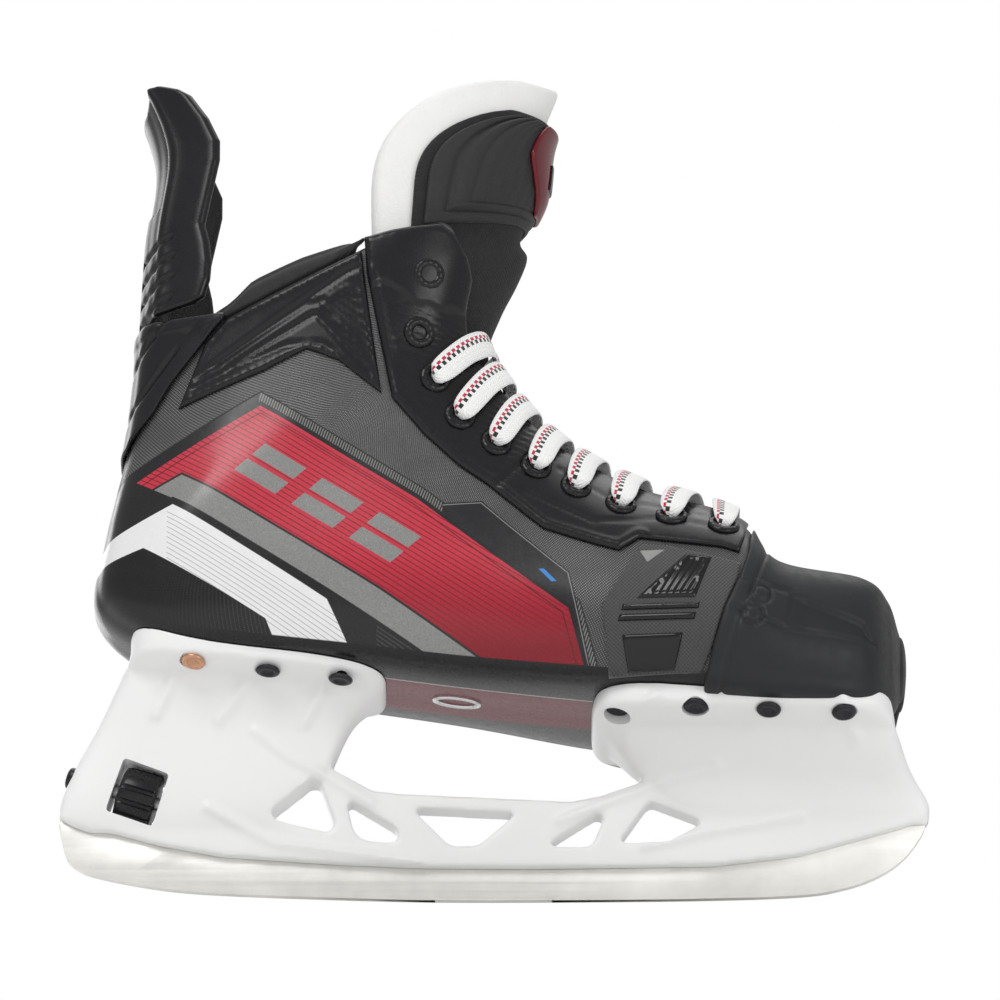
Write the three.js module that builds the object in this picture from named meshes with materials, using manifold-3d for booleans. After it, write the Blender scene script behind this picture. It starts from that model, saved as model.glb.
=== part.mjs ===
// Ice hockey skate for the right foot, in millimetres: +X towards the toe, +Y towards the inner
// (medial) side, +Z up. The origin is on the ice, under the middle of the bounding box.
import * as THREE from "three";
import { mergeVertices } from "three/addons/utils/BufferGeometryUtils.js";
import Module from "manifold-3d";

const wasm = await Module();
wasm.setup();

// ---------------------------------------------------------------- driving dimensions
const FINENESS = 0.12; // bends flatter than this are left out of a surface
const GAP = 0.3; // clearance between pieces that lie on each other
const SHELL = 3.0; // wall of the one-piece boot shell
const LINING = 2.6; // wall of the inner lining
const TOE_WALL = 2.4; // how far the toe cap stands out of the shell
const STAY_WALL = 1.8; // the same for the eyestay
const TRIM_WALL = 1.5; // and for the ankle panel
const WINDOW_WALL = 1.3; // and for the glossy window in the side
const FAR = 80; // half the width of a cutter that goes right across the boot

// ---------------------------------------------------------------- solids and meshes
function solidOf(geometry) {
  const flat = geometry.index ? geometry.toNonIndexed() : geometry.clone();
  const bare = new THREE.BufferGeometry();
  bare.setAttribute("position", flat.getAttribute("position"));
  const merged = mergeVertices(bare, 1e-4);
  const mesh = new wasm.Mesh({
    numProp: 3,
    vertProperties: new Float32Array(merged.attributes.position.array),
    triVerts: new Uint32Array(merged.index.array),
  });
  return new wasm.Manifold(mesh);
}

function geometryOf(solid) {
  const mesh = solid.getMesh();
  const positions = new Float32Array(mesh.numVert * 3);
  for (let i = 0; i < mesh.numVert; i++) {
    for (let k = 0; k < 3; k++) {
      positions[3 * i + k] = mesh.vertProperties[mesh.numProp * i + k];
    }
  }
  const geometry = new THREE.BufferGeometry();
  geometry.setAttribute("position", new THREE.BufferAttribute(positions, 3));
  geometry.setIndex(new THREE.BufferAttribute(new Uint32Array(mesh.triVerts), 1));
  const shown = geometry.toNonIndexed();
  shown.computeVertexNormals();
  return shown;
}

// A closed body from rings whose first half runs one way and second half back again, so that both
// ends close as a ladder between the two halves.
function strip(rings, half) {
  const n = 2 * half;
  const positions = rings.flatMap((ring) => ring.flatMap((p) => [p.x, p.y, p.z]));
  const index = [];
  for (let r = 0; r + 1 < rings.length; r++) {
    for (let i = 0; i < n; i++) {
      const j = (i + 1) % n;
      index.push(r * n + i, r * n + j, (r + 1) * n + j, r * n + i, (r + 1) * n + j, (r + 1) * n + i);
    }
  }
  const last = (rings.length - 1) * n;
  for (let i = 0; i + 1 < half; i++) {
    const [a, b, c, d] = [i, i + 1, n - 2 - i, n - 1 - i];
    index.push(c, b, a, d, c, a, last + a, last + b, last + c, last + a, last + c, last + d);
  }
  return closedBody(positions, index);
}

function closedBody(positions, index) {
  const geometry = new THREE.BufferGeometry();
  geometry.setAttribute("position", new THREE.Float32BufferAttribute(positions, 3));
  geometry.setIndex(index);
  const solid = solidOf(geometry);
  if (solid.volume() > 0) return solid;
  geometry.setIndex(index.slice().reverse());
  return solidOf(geometry);
}

// A closed body from rings of points, each ring the same length, with a flat fan on both ends.
function loft(rings) {
  const n = rings[0].length;
  const positions = [];
  for (const ring of rings) {
    for (const p of ring) positions.push(p.x, p.y, p.z);
  }
  const index = [];
  for (let r = 0; r + 1 < rings.length; r++) {
    for (let i = 0; i < n; i++) {
      const j = (i + 1) % n;
      const a = r * n + i;
      const b = r * n + j;
      const c = (r + 1) * n + j;
      const d = (r + 1) * n + i;
      index.push(a, b, c, a, c, d);
    }
  }
  const middle = (ring) => {
    const sum = new THREE.Vector3();
    for (const p of ring) sum.add(p);
    return sum.divideScalar(ring.length);
  };
  const first = positions.length / 3;
  const start = middle(rings[0]);
  positions.push(start.x, start.y, start.z);
  const end = middle(rings[rings.length - 1]);
  positions.push(end.x, end.y, end.z);
  const last = (rings.length - 1) * n;
  for (let i = 0; i < n; i++) {
    const j = (i + 1) % n;
    index.push(first, j, i, first + 1, last + i, last + j);
  }
  return closedBody(positions, index);
}

// ---------------------------------------------------------------- the boot's form
// Stations run from the toe tip, back along the foot and up the ankle. Each one is a plane through
// a point on the sole or heel (sole) and a point on the throat (top), both [x, z] in the middle
// plane. heights holds five shares of the way from sole to top, and widths the half width at each:
// sole edge, lower side, widest place, upper side and facing edge. skew moves the station sideways,
// because the toe points inwards.
function station(sole, top, heights, widths, skew) {
  return { sole, top, side: heights.map((height, i) => [height, widths[i]]), skew };
}
const STATIONS = [
  station([137.4, 74], [137.4, 94], [0.04, 0.2, 0.5, 0.8, 0.96], [5, 10, 12, 9, 4], 5),
  station([135.2, 66], [134.4, 105.5], [0.01, 0.14, 0.45, 0.82, 0.96], [17, 24, 26.5, 21, 10], 5),
  station([127, 62.5], [126, 111], [0.01, 0.13, 0.42, 0.82, 0.965], [31, 38, 40, 33, 17], 4),
  station([106, 62], [97, 117], [0.01, 0.14, 0.42, 0.8, 0.96], [36, 44.5, 47, 39, 20], 3.5),
  station([78, 63.5], [84, 135.5], [0.01, 0.14, 0.4, 0.75, 0.95], [37, 46, 49, 40, 20], 2.5),
  station([36, 67], [48, 149.5], [0.01, 0.11, 0.38, 0.72, 0.94], [35, 43, 46, 37, 18], 3),
  station([-10, 72], [22, 166], [0.01, 0.09, 0.36, 0.72, 0.935], [27, 36, 41, 35, 19], 1),
  station([-62, 79], [6, 188], [0.01, 0.08, 0.33, 0.7, 0.925], [26, 34, 39, 36, 21], 0),
  station([-112, 85], [2, 203], [0.01, 0.07, 0.32, 0.74, 0.915], [20, 31, 37, 36.5, 23], 0),
  station([-136, 101], [2, 213], [0.01, 0.07, 0.3, 0.74, 0.915], [13, 26, 36, 37, 25], 0),
  station([-134, 127], [3, 222], [0.01, 0.07, 0.34, 0.74, 0.92], [12.5, 24.5, 35.5, 38, 27], 0),
  station([-125.5, 165], [4, 231], [0.01, 0.07, 0.36, 0.74, 0.925], [12, 23.5, 35.5, 39.5, 28], 0),
  station([-122, 196], [5, 240], [0.01, 0.07, 0.36, 0.72, 0.925], [12, 24, 37, 41, 29], 0),
  station([-119.5, 236], [14.5, 256], [0.01, 0.08, 0.36, 0.7, 0.93], [12, 25, 38, 40, 29], 0),
  station([-116.5, 268], [21, 276], [0.01, 0.08, 0.36, 0.7, 0.93], [12, 25, 38, 39, 28], 0),
  station([-127, 300], [20.5, 297], [0.01, 0.08, 0.36, 0.7, 0.93], [11, 24, 37, 38, 27], 0),
];
const COLLAR_STATION = 12; // the station that the collar lies on
const TOP_STATION = STATIONS.length - 1;

// Catmull-Rom through evenly spaced values, held straight past both ends.
function through(values, s) {
  const last = values.length - 1;
  const i = Math.min(Math.max(Math.floor(s), 0), last - 1);
  const t = s - i;
  const at = (k) => {
    if (k < 0) return 2 * values[0] - values[1];
    if (k > last) return 2 * values[last] - values[last - 1];
    return values[k];
  };
  const [a, b, c, d] = [at(i - 1), at(i), at(i + 1), at(i + 2)];
  if (t > 1) return c + (t - 1) * (c - b);
  const t2 = t * t;
  const t3 = t2 * t;
  return 0.5 * (2 * b + (c - a) * t + (2 * a - 5 * b + 4 * c - d) * t2 + (3 * b - a - 3 * c + d) * t3);
}

// The station at place s, grown outwards by grow: its sole and top points and its side pairs.
function stationAt(s, grow) {
  const read = (get) => through(STATIONS.map(get), s);
  const sole = new THREE.Vector2(read((k) => k.sole[0]), read((k) => k.sole[1]));
  const top = new THREE.Vector2(read((k) => k.top[0]), read((k) => k.top[1]));
  const up = top.clone().sub(sole).normalize();
  const reach = grow * Math.max(0, 1 - s / 3) ** 2; // the toe also grows forwards
  sole.addScaledVector(up, -grow).x += reach;
  top.addScaledVector(up, grow).x += reach;
  const side = [];
  for (let k = 0; k < 5; k++) {
    const share = read((q) => q.side[k][0]);
    const width = read((q) => q.side[k][1]);
    side.push([share, Math.max(width + grow, 1.5 + 0.4 * k)]);
  }
  return { sole, top, side, skew: read((k) => k.skew) };
}

// A point of station s at height share a and sideways distance b.
function place(plane, a, b) {
  const x = plane.sole.x + (plane.top.x - plane.sole.x) * a;
  const z = plane.sole.y + (plane.top.y - plane.sole.y) * a;
  return new THREE.Vector3(x, b + plane.skew, z);
}

// The point of station s at place k round its closed section: 0 is the sole line, 1 to 5 run up the
// outer side, 6 is the top and 7 to 11 run down the inner side.
function formPoint(s, k, grow) {
  const plane = stationAt(s, grow);
  const half = [[0, 0], ...plane.side, [1, 0]];
  const closed = [...half.map(([a, b]) => [a, -b]), ...half.slice(1, -1).reverse()];
  const n = closed.length;
  const near = Math.floor(k);
  const span = [-1, 0, 1, 2].map((d) => closed[(near + d + n) % n]);
  const mix = (axis) => through([0, 1, 2, 3].map((d) => span[d][axis]), 1 + k - near);
  return place(plane, mix(0), mix(1));
}

// The direction from the sole to the throat in the plane of station s.
function upAt(s) {
  const plane = stationAt(s, 0);
  return plane.top.clone().sub(plane.sole).normalize();
}

// The places that a ring has points at.
const OUTER_PLACES = [1, 2, 2.5, 3, 3.5, 4, 4.5, 5];
const PLACES = [0, ...OUTER_PLACES, 6, ...OUTER_PLACES.map((k) => 12 - k).reverse()];
const ringAt = (s, grow) => PLACES.map((k) => formPoint(s, k, grow));

// The boot's outer form, grown by grow millimetres, from station first to station last.
function form(grow, first = 0, last = TOP_STATION) {
  const rings = [];
  for (let s = first; s <= last; s++) rings.push(ringAt(s, grow));
  return loft(rings);
}

// ---------------------------------------------------------------- cutting helpers
// The upright prism over an outline of [x, z] points, from y0 to y1.
function prism(points, y0, y1, holes = []) {
  const path = (list) => list.map(([x, z]) => new THREE.Vector2(x, z));
  const shape = new THREE.Shape(path(points));
  for (const hole of holes) shape.holes.push(new THREE.Path(path(hole)));
  const geometry = new THREE.ExtrudeGeometry(shape, { depth: y1 - y0, bevelEnabled: false });
  geometry.rotateX(Math.PI / 2);
  geometry.translate(0, y1, 0);
  return solidOf(geometry);
}

// A solid moved so that its own +Z points along axis and its origin lies at origin.
function stand(geometry, origin, axis) {
  const turn = new THREE.Quaternion().setFromUnitVectors(new THREE.Vector3(0, 0, 1), axis);
  geometry.applyQuaternion(turn);
  geometry.translate(origin.x, origin.y, origin.z);
  return solidOf(geometry);
}

// A round rod from low to high along axis.
function rod(radius, low, high, origin, axis, sides = 20) {
  const geometry = new THREE.CylinderGeometry(radius, radius, high - low, sides);
  geometry.rotateX(Math.PI / 2);
  geometry.translate(0, 0, (low + high) / 2);
  return stand(geometry, origin, axis);
}

// A turned piece from [radius, height] points that start and end on the axis or close on themselves.
function turned(profile, origin, axis, sides = 20) {
  const points = profile.map(([r, h]) => new THREE.Vector2(r, h));
  const geometry = new THREE.LatheGeometry(points, sides);
  geometry.rotateX(Math.PI / 2);
  return stand(geometry, origin, axis);
}

// The skin between two offsets of the boot's form. The toe stays closed, the other end is open.
function layer(outer, inner, first, last) {
  const from = first === 0 ? 0 : first - 1;
  return form(outer, first, last).subtract(form(inner, from, last + 1));
}

// The place on the sole straight above (x, y), with the outward direction there.
const SKIN = geometryOf(form(0, 0, COLLAR_STATION)).getAttribute("position");
function underSole(x, y) {
  const ray = new THREE.Ray(new THREE.Vector3(x, y, 0), new THREE.Vector3(0, 0, 1));
  const [a, b, c, hit] = [0, 1, 2, 3].map(() => new THREE.Vector3());
  let lowest = null;
  for (let i = 0; i < SKIN.count; i += 3) {
    a.fromBufferAttribute(SKIN, i);
    b.fromBufferAttribute(SKIN, i + 1);
    c.fromBufferAttribute(SKIN, i + 2);
    if (!ray.intersectTriangle(a, b, c, true, hit)) continue;
    if (lowest && lowest.at.z < hit.z) continue;
    const out = b.clone().sub(a).cross(c.clone().sub(a)).normalize();
    lowest = { at: hit.clone(), out };
  }
  return lowest;
}

// A cutter that takes away the top of the boot's form between the places place and its mirror.
function throat(place) {
  const rings = [];
  for (let s = 3.85; s < COLLAR_STATION + 1.5; s += 0.5) {
    const places = [];
    for (let k = 0; k <= 8; k++) places.push(place + (k / 8) * (12 - 2 * place));
    const over = places.map((k) => formPoint(s, k, 16));
    const under = places.reverse().map((k) => formPoint(s, k, -20));
    rings.push([...over, ...under]);
  }
  return strip(rings, 9);
}

// ---------------------------------------------------------------- outlines of the boot's pieces
// The facing edge from the toe to the top eyelet, then the collar to the back of the ankle.
const FACING = [
  [90, 131], [71.5, 139], [52, 144.5], [35.6, 152], [18, 163],
  [10, 172], [1.6, 186], [-5, 208], [-9, 223], [-14, 232],
];
const COLLAR = [[-19, 234], [-35, 230.5], [-69, 220], [-84, 213.5], [-92, 206], [-99, 202]];
const ABOVE = [[-140, 202], [-140, 340], [60, 340], [96, 150]];
const OPENING = [...FACING, ...COLLAR, ...ABOVE];
const LINING_OPENING = OPENING.map(([x, z]) => [x - 6, z - 8]); // the lining stops short of the edge
const TOE_REAR = [
  [90, 150], [90, 128], [88, 112], [85, 102], [80, 90],
  [76, 76], [72, 58], [72, 40], [170, 40], [170, 150],
];
const EYESTAY = [
  [-45, 240], [-43.6, 214], [-35, 170], [-24, 156.5], [-12, 145], [-2, 138], [17, 121.5], [36, 115],
  [43, 113], [50, 118], [78, 114], [84, 112], [85.5, 118], [86.4, 128], [86.4, 240],
];
const ANKLE = [
  [-108, 169], [-79, 180], [-64, 187.5], [-53, 183], [-39, 171],
  [-46, 213], [-48, 221], [-70, 214.5], [-92, 200], [-99, 193],
];
const WINDOW = [
  [44, 73], [47, 70.5], [66, 69], [69.5, 72], [73, 88],
  [77, 101], [75, 105], [52, 109], [45, 106],
];
const COLLAR_PAD = [
  [-50, 228], [-60, 190], [-100, 176], [-140, 176], [-140, 201],
  [-99, 201], [-92, 205], [-84, 212], [-69, 218.5], [-52, 223.5],
];
const FOOTBED = [
  [-122, 99.5], [-105, 95.5], [-62, 89.5], [-10, 82.5], [36, 77],
  [78, 73.5], [106, 72], [122, 73], [122, 40], [-122, 40],
];
const GUARD_BASE = [[-93.5, 201.7], [-110, 180], [-116, 170], [-125, 160], [-145, 152], [-145, 201.7]];
const GUARD = [
  [-145, 205.2], [-126, 205.2], [-102, 209.5], [-99.5, 223], [-100, 230], [-102, 237], [-97, 261],
  [-97, 268], [-101, 277], [-106, 285], [-111, 290.5], [-115, 288], [-120, 283.5], [-145, 281],
];

// ---------------------------------------------------------------- materials
function finish(color, roughness, metalness = 0) {
  return new THREE.MeshStandardMaterial({ color, roughness, metalness });
}
const SHELL_BLACK = finish(0x17171a, 0.55);
const MATTE_BLACK = finish(0x1b1c1f, 0.8);
const GLOSS_BLACK = finish(0x0c0c0e, 0.2);
const FOAM_BLACK = finish(0x202022, 0.95);
const FELT_WHITE = finish(0xe9e8e4, 0.95);
const WHITE_PLASTIC = finish(0xe8e8e8, 0.4);
const LACE_WHITE = finish(0xf0efec, 0.9);
const RED_GLOSS = finish(0xc8142d, 0.3);
const STEEL = finish(0xcdcabd, 0.25, 1);
const BLACK_METAL = finish(0x17171a, 0.4, 0.8);
const COPPER = finish(0xb87a4b, 0.35, 1);

const root = new THREE.Group();
const boot = new THREE.Group();
const chassis = new THREE.Group();
root.add(boot, chassis);
function add(parent, name, solid, material) {
  const mesh = new THREE.Mesh(geometryOf(solid.simplify(FINENESS)), material);
  mesh.name = name;
  parent.add(mesh);
}

// ---------------------------------------------------------------- fasteners' places
// Each rivet: which tower, its x and its distance from the middle plane.
const RIVETS = [
  ["rear", -101.8, 21], ["rear", -76.7, 21.5], ["rear", -51.6, 21.5],
  ["front", 43.1, 24], ["front", 69.4, 31], ["front", 94.2, 32], ["front", 119.4, 30],
];
// The eyelets' stations, from the toe up, and their place round the section on the outer side.
const EYELET_STATIONS = [4.14, 4.6, 5.06, 5.55, 6.03, 6.54, 7.1, 7.9, 9.3, 10.8];
const EYELET_PLACE = 4.22;
const FACING_PLACE = 5; // where the facings end, at the gap over the tongue
const LINING_PLACE = 3.45; // where the lining ends, clear of the tongue
const LACED = 8; // the two top pairs of eyelets are left empty
const SIDES = [["outer", -1], ["inner", 1]];
const FLANGE = 4.6; // flange thickness under the sole
const RIVET_LEAN = 0.2; // how far the front rivets lean outwards, as a slope
// A place given on the outer side, or its mirror on the inner side.
const across = (place, side) => (side < 0 ? place : 12 - place);
// The direction out of the boot at an eyelet.
function outward(s, side) {
  const [a, b, c, d] = [[0.1, 0], [-0.1, 0], [0, 0.1], [0, -0.1]].map(([ds, dk]) => (
    formPoint(s + ds, across(EYELET_PLACE + dk, side), 0)
  ));
  const out = a.sub(b).cross(c.sub(d)).normalize();
  return Math.sign(out.y) === side ? out : out.negate();
}
const eyelets = [];
for (const [sideName, side] of SIDES) {
  EYELET_STATIONS.forEach((s, k) => {
    const at = formPoint(s, across(EYELET_PLACE, side), 0);
    eyelets.push({ name: `eyelet_${sideName}_${k + 1}`, at, out: outward(s, side) });
  });
}
const rivets = [];
for (const [sideName, side] of SIDES) {
  RIVETS.forEach(([end, x, y], k) => {
    const { at, out } = underSole(x, side * y);
    if (end === "front") out.setY(out.y + side * RIVET_LEAN).normalize();
    rivets.push({ name: `rivet_${end}_${sideName}_${k + 1}`, at, out });
  });
}

// ---------------------------------------------------------------- boot
const opening = prism(OPENING, -FAR, FAR).add(throat(FACING_PLACE));
const eyeletHoles = eyelets.map((e) => rod(3.5, -12, 8, e.at, e.out, 6));
const rivetHoles = rivets.map((r) => rod(2.3, -12, 12, r.at, r.out, 6));
const VENT = new THREE.Vector3(-12.6, 0, 72.3);
function oval(length, width, low, high) {
  const geometry = new THREE.CylinderGeometry(0.5, 0.5, high - low, 24);
  geometry.rotateX(Math.PI / 2);
  geometry.scale(length, width, 1);
  geometry.translate(VENT.x, VENT.y, VENT.z + (low + high) / 2);
  return solidOf(geometry);
}
const cutAll = (solid, cuts) => cuts.reduce((left, cut) => left.subtract(cut), solid);

const shell = layer(0, -SHELL, 0, COLLAR_STATION + 1)
  .subtract(opening)
  .subtract(oval(17.6, 10.6, -12, 12));
add(boot, "boot_shell", cutAll(shell, [...eyeletHoles, ...rivetHoles]), SHELL_BLACK);
add(boot, "sole_vent", oval(17, 10, -2, 0.8), STEEL);

// The cap leaves the sole free where the holder's flange lies, but for a lip at the very tip.
const underToe = prism([[60, 50], [137.8, 50], [137.8, 69], [60, 69]], -38, 38);
const toeCap = layer(TOE_WALL, GAP, 0, 5)
  .intersect(prism(TOE_REAR, -FAR, FAR))
  .subtract(underToe);
add(boot, "toe_cap", toeCap, MATTE_BLACK);

const lining = layer(-SHELL - GAP, -SHELL - GAP - LINING, 0, COLLAR_STATION + 1)
  .subtract(prism(LINING_OPENING, -FAR, FAR))
  .subtract(throat(LINING_PLACE));
add(boot, "liner", lining, FOAM_BLACK);

const insole = form(-SHELL - LINING - 3 * GAP, 0, 11).intersect(prism(FOOTBED, -FAR, FAR));
add(boot, "footbed", insole, FOAM_BLACK);

const pad = layer(-SHELL - LINING - 2 * GAP, -13, 8, COLLAR_STATION + 1)
  .intersect(prism(COLLAR_PAD, -FAR, FAR));
add(boot, "collar_pad", pad, FOAM_BLACK);

for (const [sideName, side] of SIDES) {
  const [y0, y1] = side < 0 ? [-FAR, -4] : [4, FAR];
  const stay = layer(STAY_WALL, GAP, 2, COLLAR_STATION + 1)
    .subtract(opening)
    .intersect(prism(EYESTAY, y0, y1))
    .subtract(prism(TOE_REAR, -FAR, FAR).translate([-0.4, 0, 0]));
  const own = eyelets.filter((e) => e.name.includes(sideName));
  const seats = own.map((e) => rod(5.8, -4, 9, e.at, e.out, 8));
  add(boot, `eyestay_${sideName}`, cutAll(stay, seats), SHELL_BLACK);
  const ankle = layer(TRIM_WALL, GAP, 8, COLLAR_STATION + 1)
    .subtract(opening)
    .intersect(prism(ANKLE, y0, y1))
    .subtract(prism(EYESTAY, y0, y1).translate([-0.4, 0, 0]));
  add(boot, `ankle_panel_${sideName}`, ankle, SHELL_BLACK);
  const glossy = layer(WINDOW_WALL, GAP, 3, 7).intersect(prism(WINDOW, y0, y1));
  add(boot, `side_window_${sideName}`, glossy, GLOSS_BLACK);
}

const ankleCut = prism(ANKLE, -FAR, FAR).translate([-0.5, 0, 0]);
const guardBase = layer(TOE_WALL, GAP, 8, COLLAR_STATION + 1)
  .intersect(prism(GUARD_BASE, -FAR, FAR))
  .subtract(ankleCut);
add(boot, "tendon_guard_base", guardBase, SHELL_BLACK);
const guard = layer(TOE_WALL, -2.6, 11, TOP_STATION).intersect(prism(GUARD, -FAR, FAR));
add(boot, "tendon_guard", guard, SHELL_BLACK);

const EYELET_PROFILE = [
  [2.3, -3.6], [2.9, -3.6], [2.9, 1.4], [5, 1.4], [4.6, 2.4], [2.3, 2.4], [2.3, -3.6],
];
for (const e of eyelets) {
  add(boot, e.name, turned(EYELET_PROFILE, e.at, e.out, 8), GLOSS_BLACK);
}

// ---------------------------------------------------------------- tongue
// How far the middle of the tongue stands out of the throat, at stations 4 to the top, and the place
// round the section, counted from the top, that its edge lies at.
const BULGE = [0, 0, 0, 0, 1, 7, 13, 15, 11, 7, 3, 11];
const TONGUE_EDGE = [1.95, 2, 2.1, 2.1, 2.1, 2.1, 2.1, 2.1, 2.1, 2.25, 2.35, 2.2];
const TONGUE_START = 3.6; // station of its lower end
const TONGUE_END = 14.9; // station of its upper end

function tonguePoint(s, v, grow) {
  const edge = through(TONGUE_EDGE, s - 4);
  const ring = formPoint(s, 6 + v * edge, grow);
  const up = upAt(s);
  const sideways = Math.min(1, Math.abs(v * edge) / 1.2);
  const swell = through(BULGE, s - 4) * Math.cos((Math.PI / 2) * sideways) ** 2;
  return ring.add(new THREE.Vector3(up.x, 0, up.y).multiplyScalar(swell));
}

// A closed slab between two offsets of the tongue, over stations first to last.
function tongueSlab(outer, inner, first, last, narrow, steps, columns = 10) {
  const rings = [];
  for (let i = 0; i <= steps; i++) {
    const s = first + ((last - first) * i) / steps;
    const reach = narrow(s);
    const shares = [];
    for (let j = 0; j <= columns; j++) shares.push(((2 * j) / columns - 1) * reach);
    const over = shares.map((v) => tonguePoint(s, v, outer));
    const under = shares.reverse().map((v) => tonguePoint(s, v, inner));
    rings.push([...over, ...under]);
  }
  return strip(rings, columns + 1);
}

// The share of the full width at station s of a piece whose rounded top ends at station end.
function round(s, end) {
  const up = Math.max(0, s - 13) / (end - 13);
  return Math.sqrt(Math.max(0.12, 1 - up ** 3));
}

// The tongue flexes at a slit 4 mm high across its front: these two outlines lie under and over it.
const TONGUE_SPLIT = [[40, 229], [12, 229.5], [-60, 221], [-60, 120], [120, 60], [120, 200]];
const TONGUE_TOP = [[40, 233], [12, 233], [-60, 234], [-60, 340], [60, 340]];
const overSlit = prism(TONGUE_TOP, -FAR, FAR);
const base = tongueSlab(-8.4, -14, TONGUE_START, 12.2, () => 1, 12).intersect(prism(TONGUE_SPLIT, -FAR, FAR));
add(boot, "tongue_base", base, FELT_WHITE);
const felt = tongueSlab(-7.2, -16, 11, TONGUE_END, (s) => round(s, 15), 12).intersect(overSlit);
add(boot, "tongue_felt", felt, FELT_WHITE);
const cover = tongueSlab(-3.2, -5.2, 11.15, 14.35, (s) => 0.84 * round(s, 14.5), 10)
  .intersect(overSlit.translate([0, 0, 1.2]));
add(boot, "tongue_cover", cover, FOAM_BLACK);
const badge = tongueSlab(-1.5, -2.5, 12.3, 14.15, (s) => 0.26 * round(s, 14.4), 8, 6)
  .intersect(overSlit.translate([0, 0, 5]));
add(boot, "tongue_badge", badge, RED_GLOSS);

// ---------------------------------------------------------------- lace
// One lace: a straight bar over the lowest pair of eyelets, then crossings that come up through the
// gap, over the facing and down into the next eyelet. Both ends are tucked inside the boot.
const LACE_RADIUS = 1.5;
const UNDER = 5.4; // depth of a strand under the facing
const OVER = 5.4; // height of a strand on top of an eyelet
const LOW_CROSS = 3.3; // heights of the two strands of a crossing over the tongue
const HIGH_CROSS = 6.9;
const HANK_Y = 8.5; // how far each folded end lies from the middle
const eyelet = (k, side) => eyelets[(side < 0 ? 0 : EYELET_STATIONS.length) + k];
const onEyelet = (k, side, height) => eyelet(k, side).at.clone().addScaledVector(eyelet(k, side).out, height);

function overTongue(s, height) {
  const up = upAt(s);
  return tonguePoint(s, 0, -8.4).add(new THREE.Vector3(up.x, 0, up.y).multiplyScalar(height));
}

// From inside eyelet k on one side, over the tongue, to inside the next eyelet on the other side.
function crossing(k, side, height) {
  const [from, to] = [EYELET_STATIONS[k], EYELET_STATIONS[k + 1]];
  return [
    formPoint(from + 0.2 * (to - from), across(FACING_PLACE + 0.15, side), -UNDER),
    overTongue((from + to) / 2, height),
    formPoint(to - 0.2 * (to - from), across(FACING_PLACE + 0.07, -side), OVER - 0.9),
    onEyelet(k + 1, -side, OVER),
    onEyelet(k + 1, -side, -UNDER),
  ];
}

function laceHalf(start) {
  const points = [
    formPoint(EYELET_STATIONS[0], across(FACING_PLACE + 0.07, start), OVER - 0.9),
    onEyelet(0, start, OVER),
    onEyelet(0, start, -UNDER),
  ];
  let side = start;
  for (let k = 0; k + 1 < LACED; k++) {
    const under = k % 2 ? start < 0 : start > 0;
    points.push(...crossing(k, side, under ? LOW_CROSS : HIGH_CROSS));
    side = -side;
  }
  points.push(formPoint(8.15, across(3.95, side), -UNDER));
  points.push(formPoint(8.35, across(3.72, side), -6.5));
  points.push(formPoint(8.45, across(3.6, side), -17));
  points.push(new THREE.Vector3(-25, side * 12, 125));
  points.push(new THREE.Vector3(-20, side * HANK_Y, 104.3));
  return points;
}

// A round cord through points, with a mitred ring at each of them.
function cord(points, radius, sides) {
  const tangents = points.map((p, i) => {
    const before = i ? p.clone().sub(points[i - 1]).normalize() : new THREE.Vector3();
    const after = i + 1 < points.length ? points[i + 1].clone().sub(p).normalize() : new THREE.Vector3();
    return before.add(after).normalize();
  });
  let normal = new THREE.Vector3(1, 0, 0).cross(tangents[0]).normalize();
  const rings = points.map((p, i) => {
    normal = normal.clone().addScaledVector(tangents[i], -normal.dot(tangents[i])).normalize();
    const other = tangents[i].clone().cross(normal);
    const ring = [];
    for (let j = 0; j < sides; j++) {
      const angle = (2 * Math.PI * j) / sides;
      const out = normal.clone().multiplyScalar(Math.cos(angle)).addScaledVector(other, Math.sin(angle));
      ring.push(p.clone().addScaledVector(out, radius));
    }
    return ring;
  });
  return loft(rings);
}

// The lace's two loose ends lie folded inside the boot, on the footbed: each block holds one.
const HANK_LENGTH = 90;
const HANK_HEIGHT = 18;
const HANK_WIDTH = 12;
const HANK_SLOPE = 0.125; // radians; the footbed falls towards the toe
const HANK_X = 12;
const HANK_Z = 90.7;
const lacePath = [...laceHalf(-1).reverse(), overTongue(EYELET_STATIONS[0], 5), ...laceHalf(1)];
add(boot, "lace", cord(lacePath, LACE_RADIUS, 8), LACE_WHITE);
for (const [sideName, side] of SIDES) {
  const reach = (HANK_LENGTH - HANK_HEIGHT) / 2;
  const outline = new THREE.Shape();
  outline.absarc(reach, 0, HANK_HEIGHT / 2, -Math.PI / 2, Math.PI / 2, false);
  outline.absarc(-reach, 0, HANK_HEIGHT / 2, Math.PI / 2, (3 * Math.PI) / 2, false);
  const depth = HANK_WIDTH;
  const geometry = new THREE.ExtrudeGeometry(outline, { depth, bevelEnabled: false, curveSegments: 8 });
  geometry.translate(0, 0, -HANK_WIDTH / 2);
  geometry.rotateX(Math.PI / 2);
  geometry.rotateY(HANK_SLOPE);
  geometry.translate(HANK_X, side * HANK_Y, HANK_Z);
  add(boot, `lace_end_${sideName}`, solidOf(geometry), LACE_WHITE);
}

// ---------------------------------------------------------------- holder
// A rounded rectangle ring at height z: from x0 to x1, half as wide as half, sloped with the sole.
function blockRing(z, x0, x1, half, slope, sharpness = 5, count = 20) {
  const ring = [];
  for (let i = 0; i < count; i++) {
    const angle = (2 * Math.PI * (i + 0.5)) / count;
    const bend = (value) => Math.sign(value) * Math.abs(value) ** (2 / sharpness);
    const x = (x0 + x1) / 2 + ((x1 - x0) / 2) * bend(Math.cos(angle));
    ring.push(new THREE.Vector3(x, half * bend(Math.sin(angle)), z + slope * (x - (x0 + x1) / 2)));
  }
  return ring;
}
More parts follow.
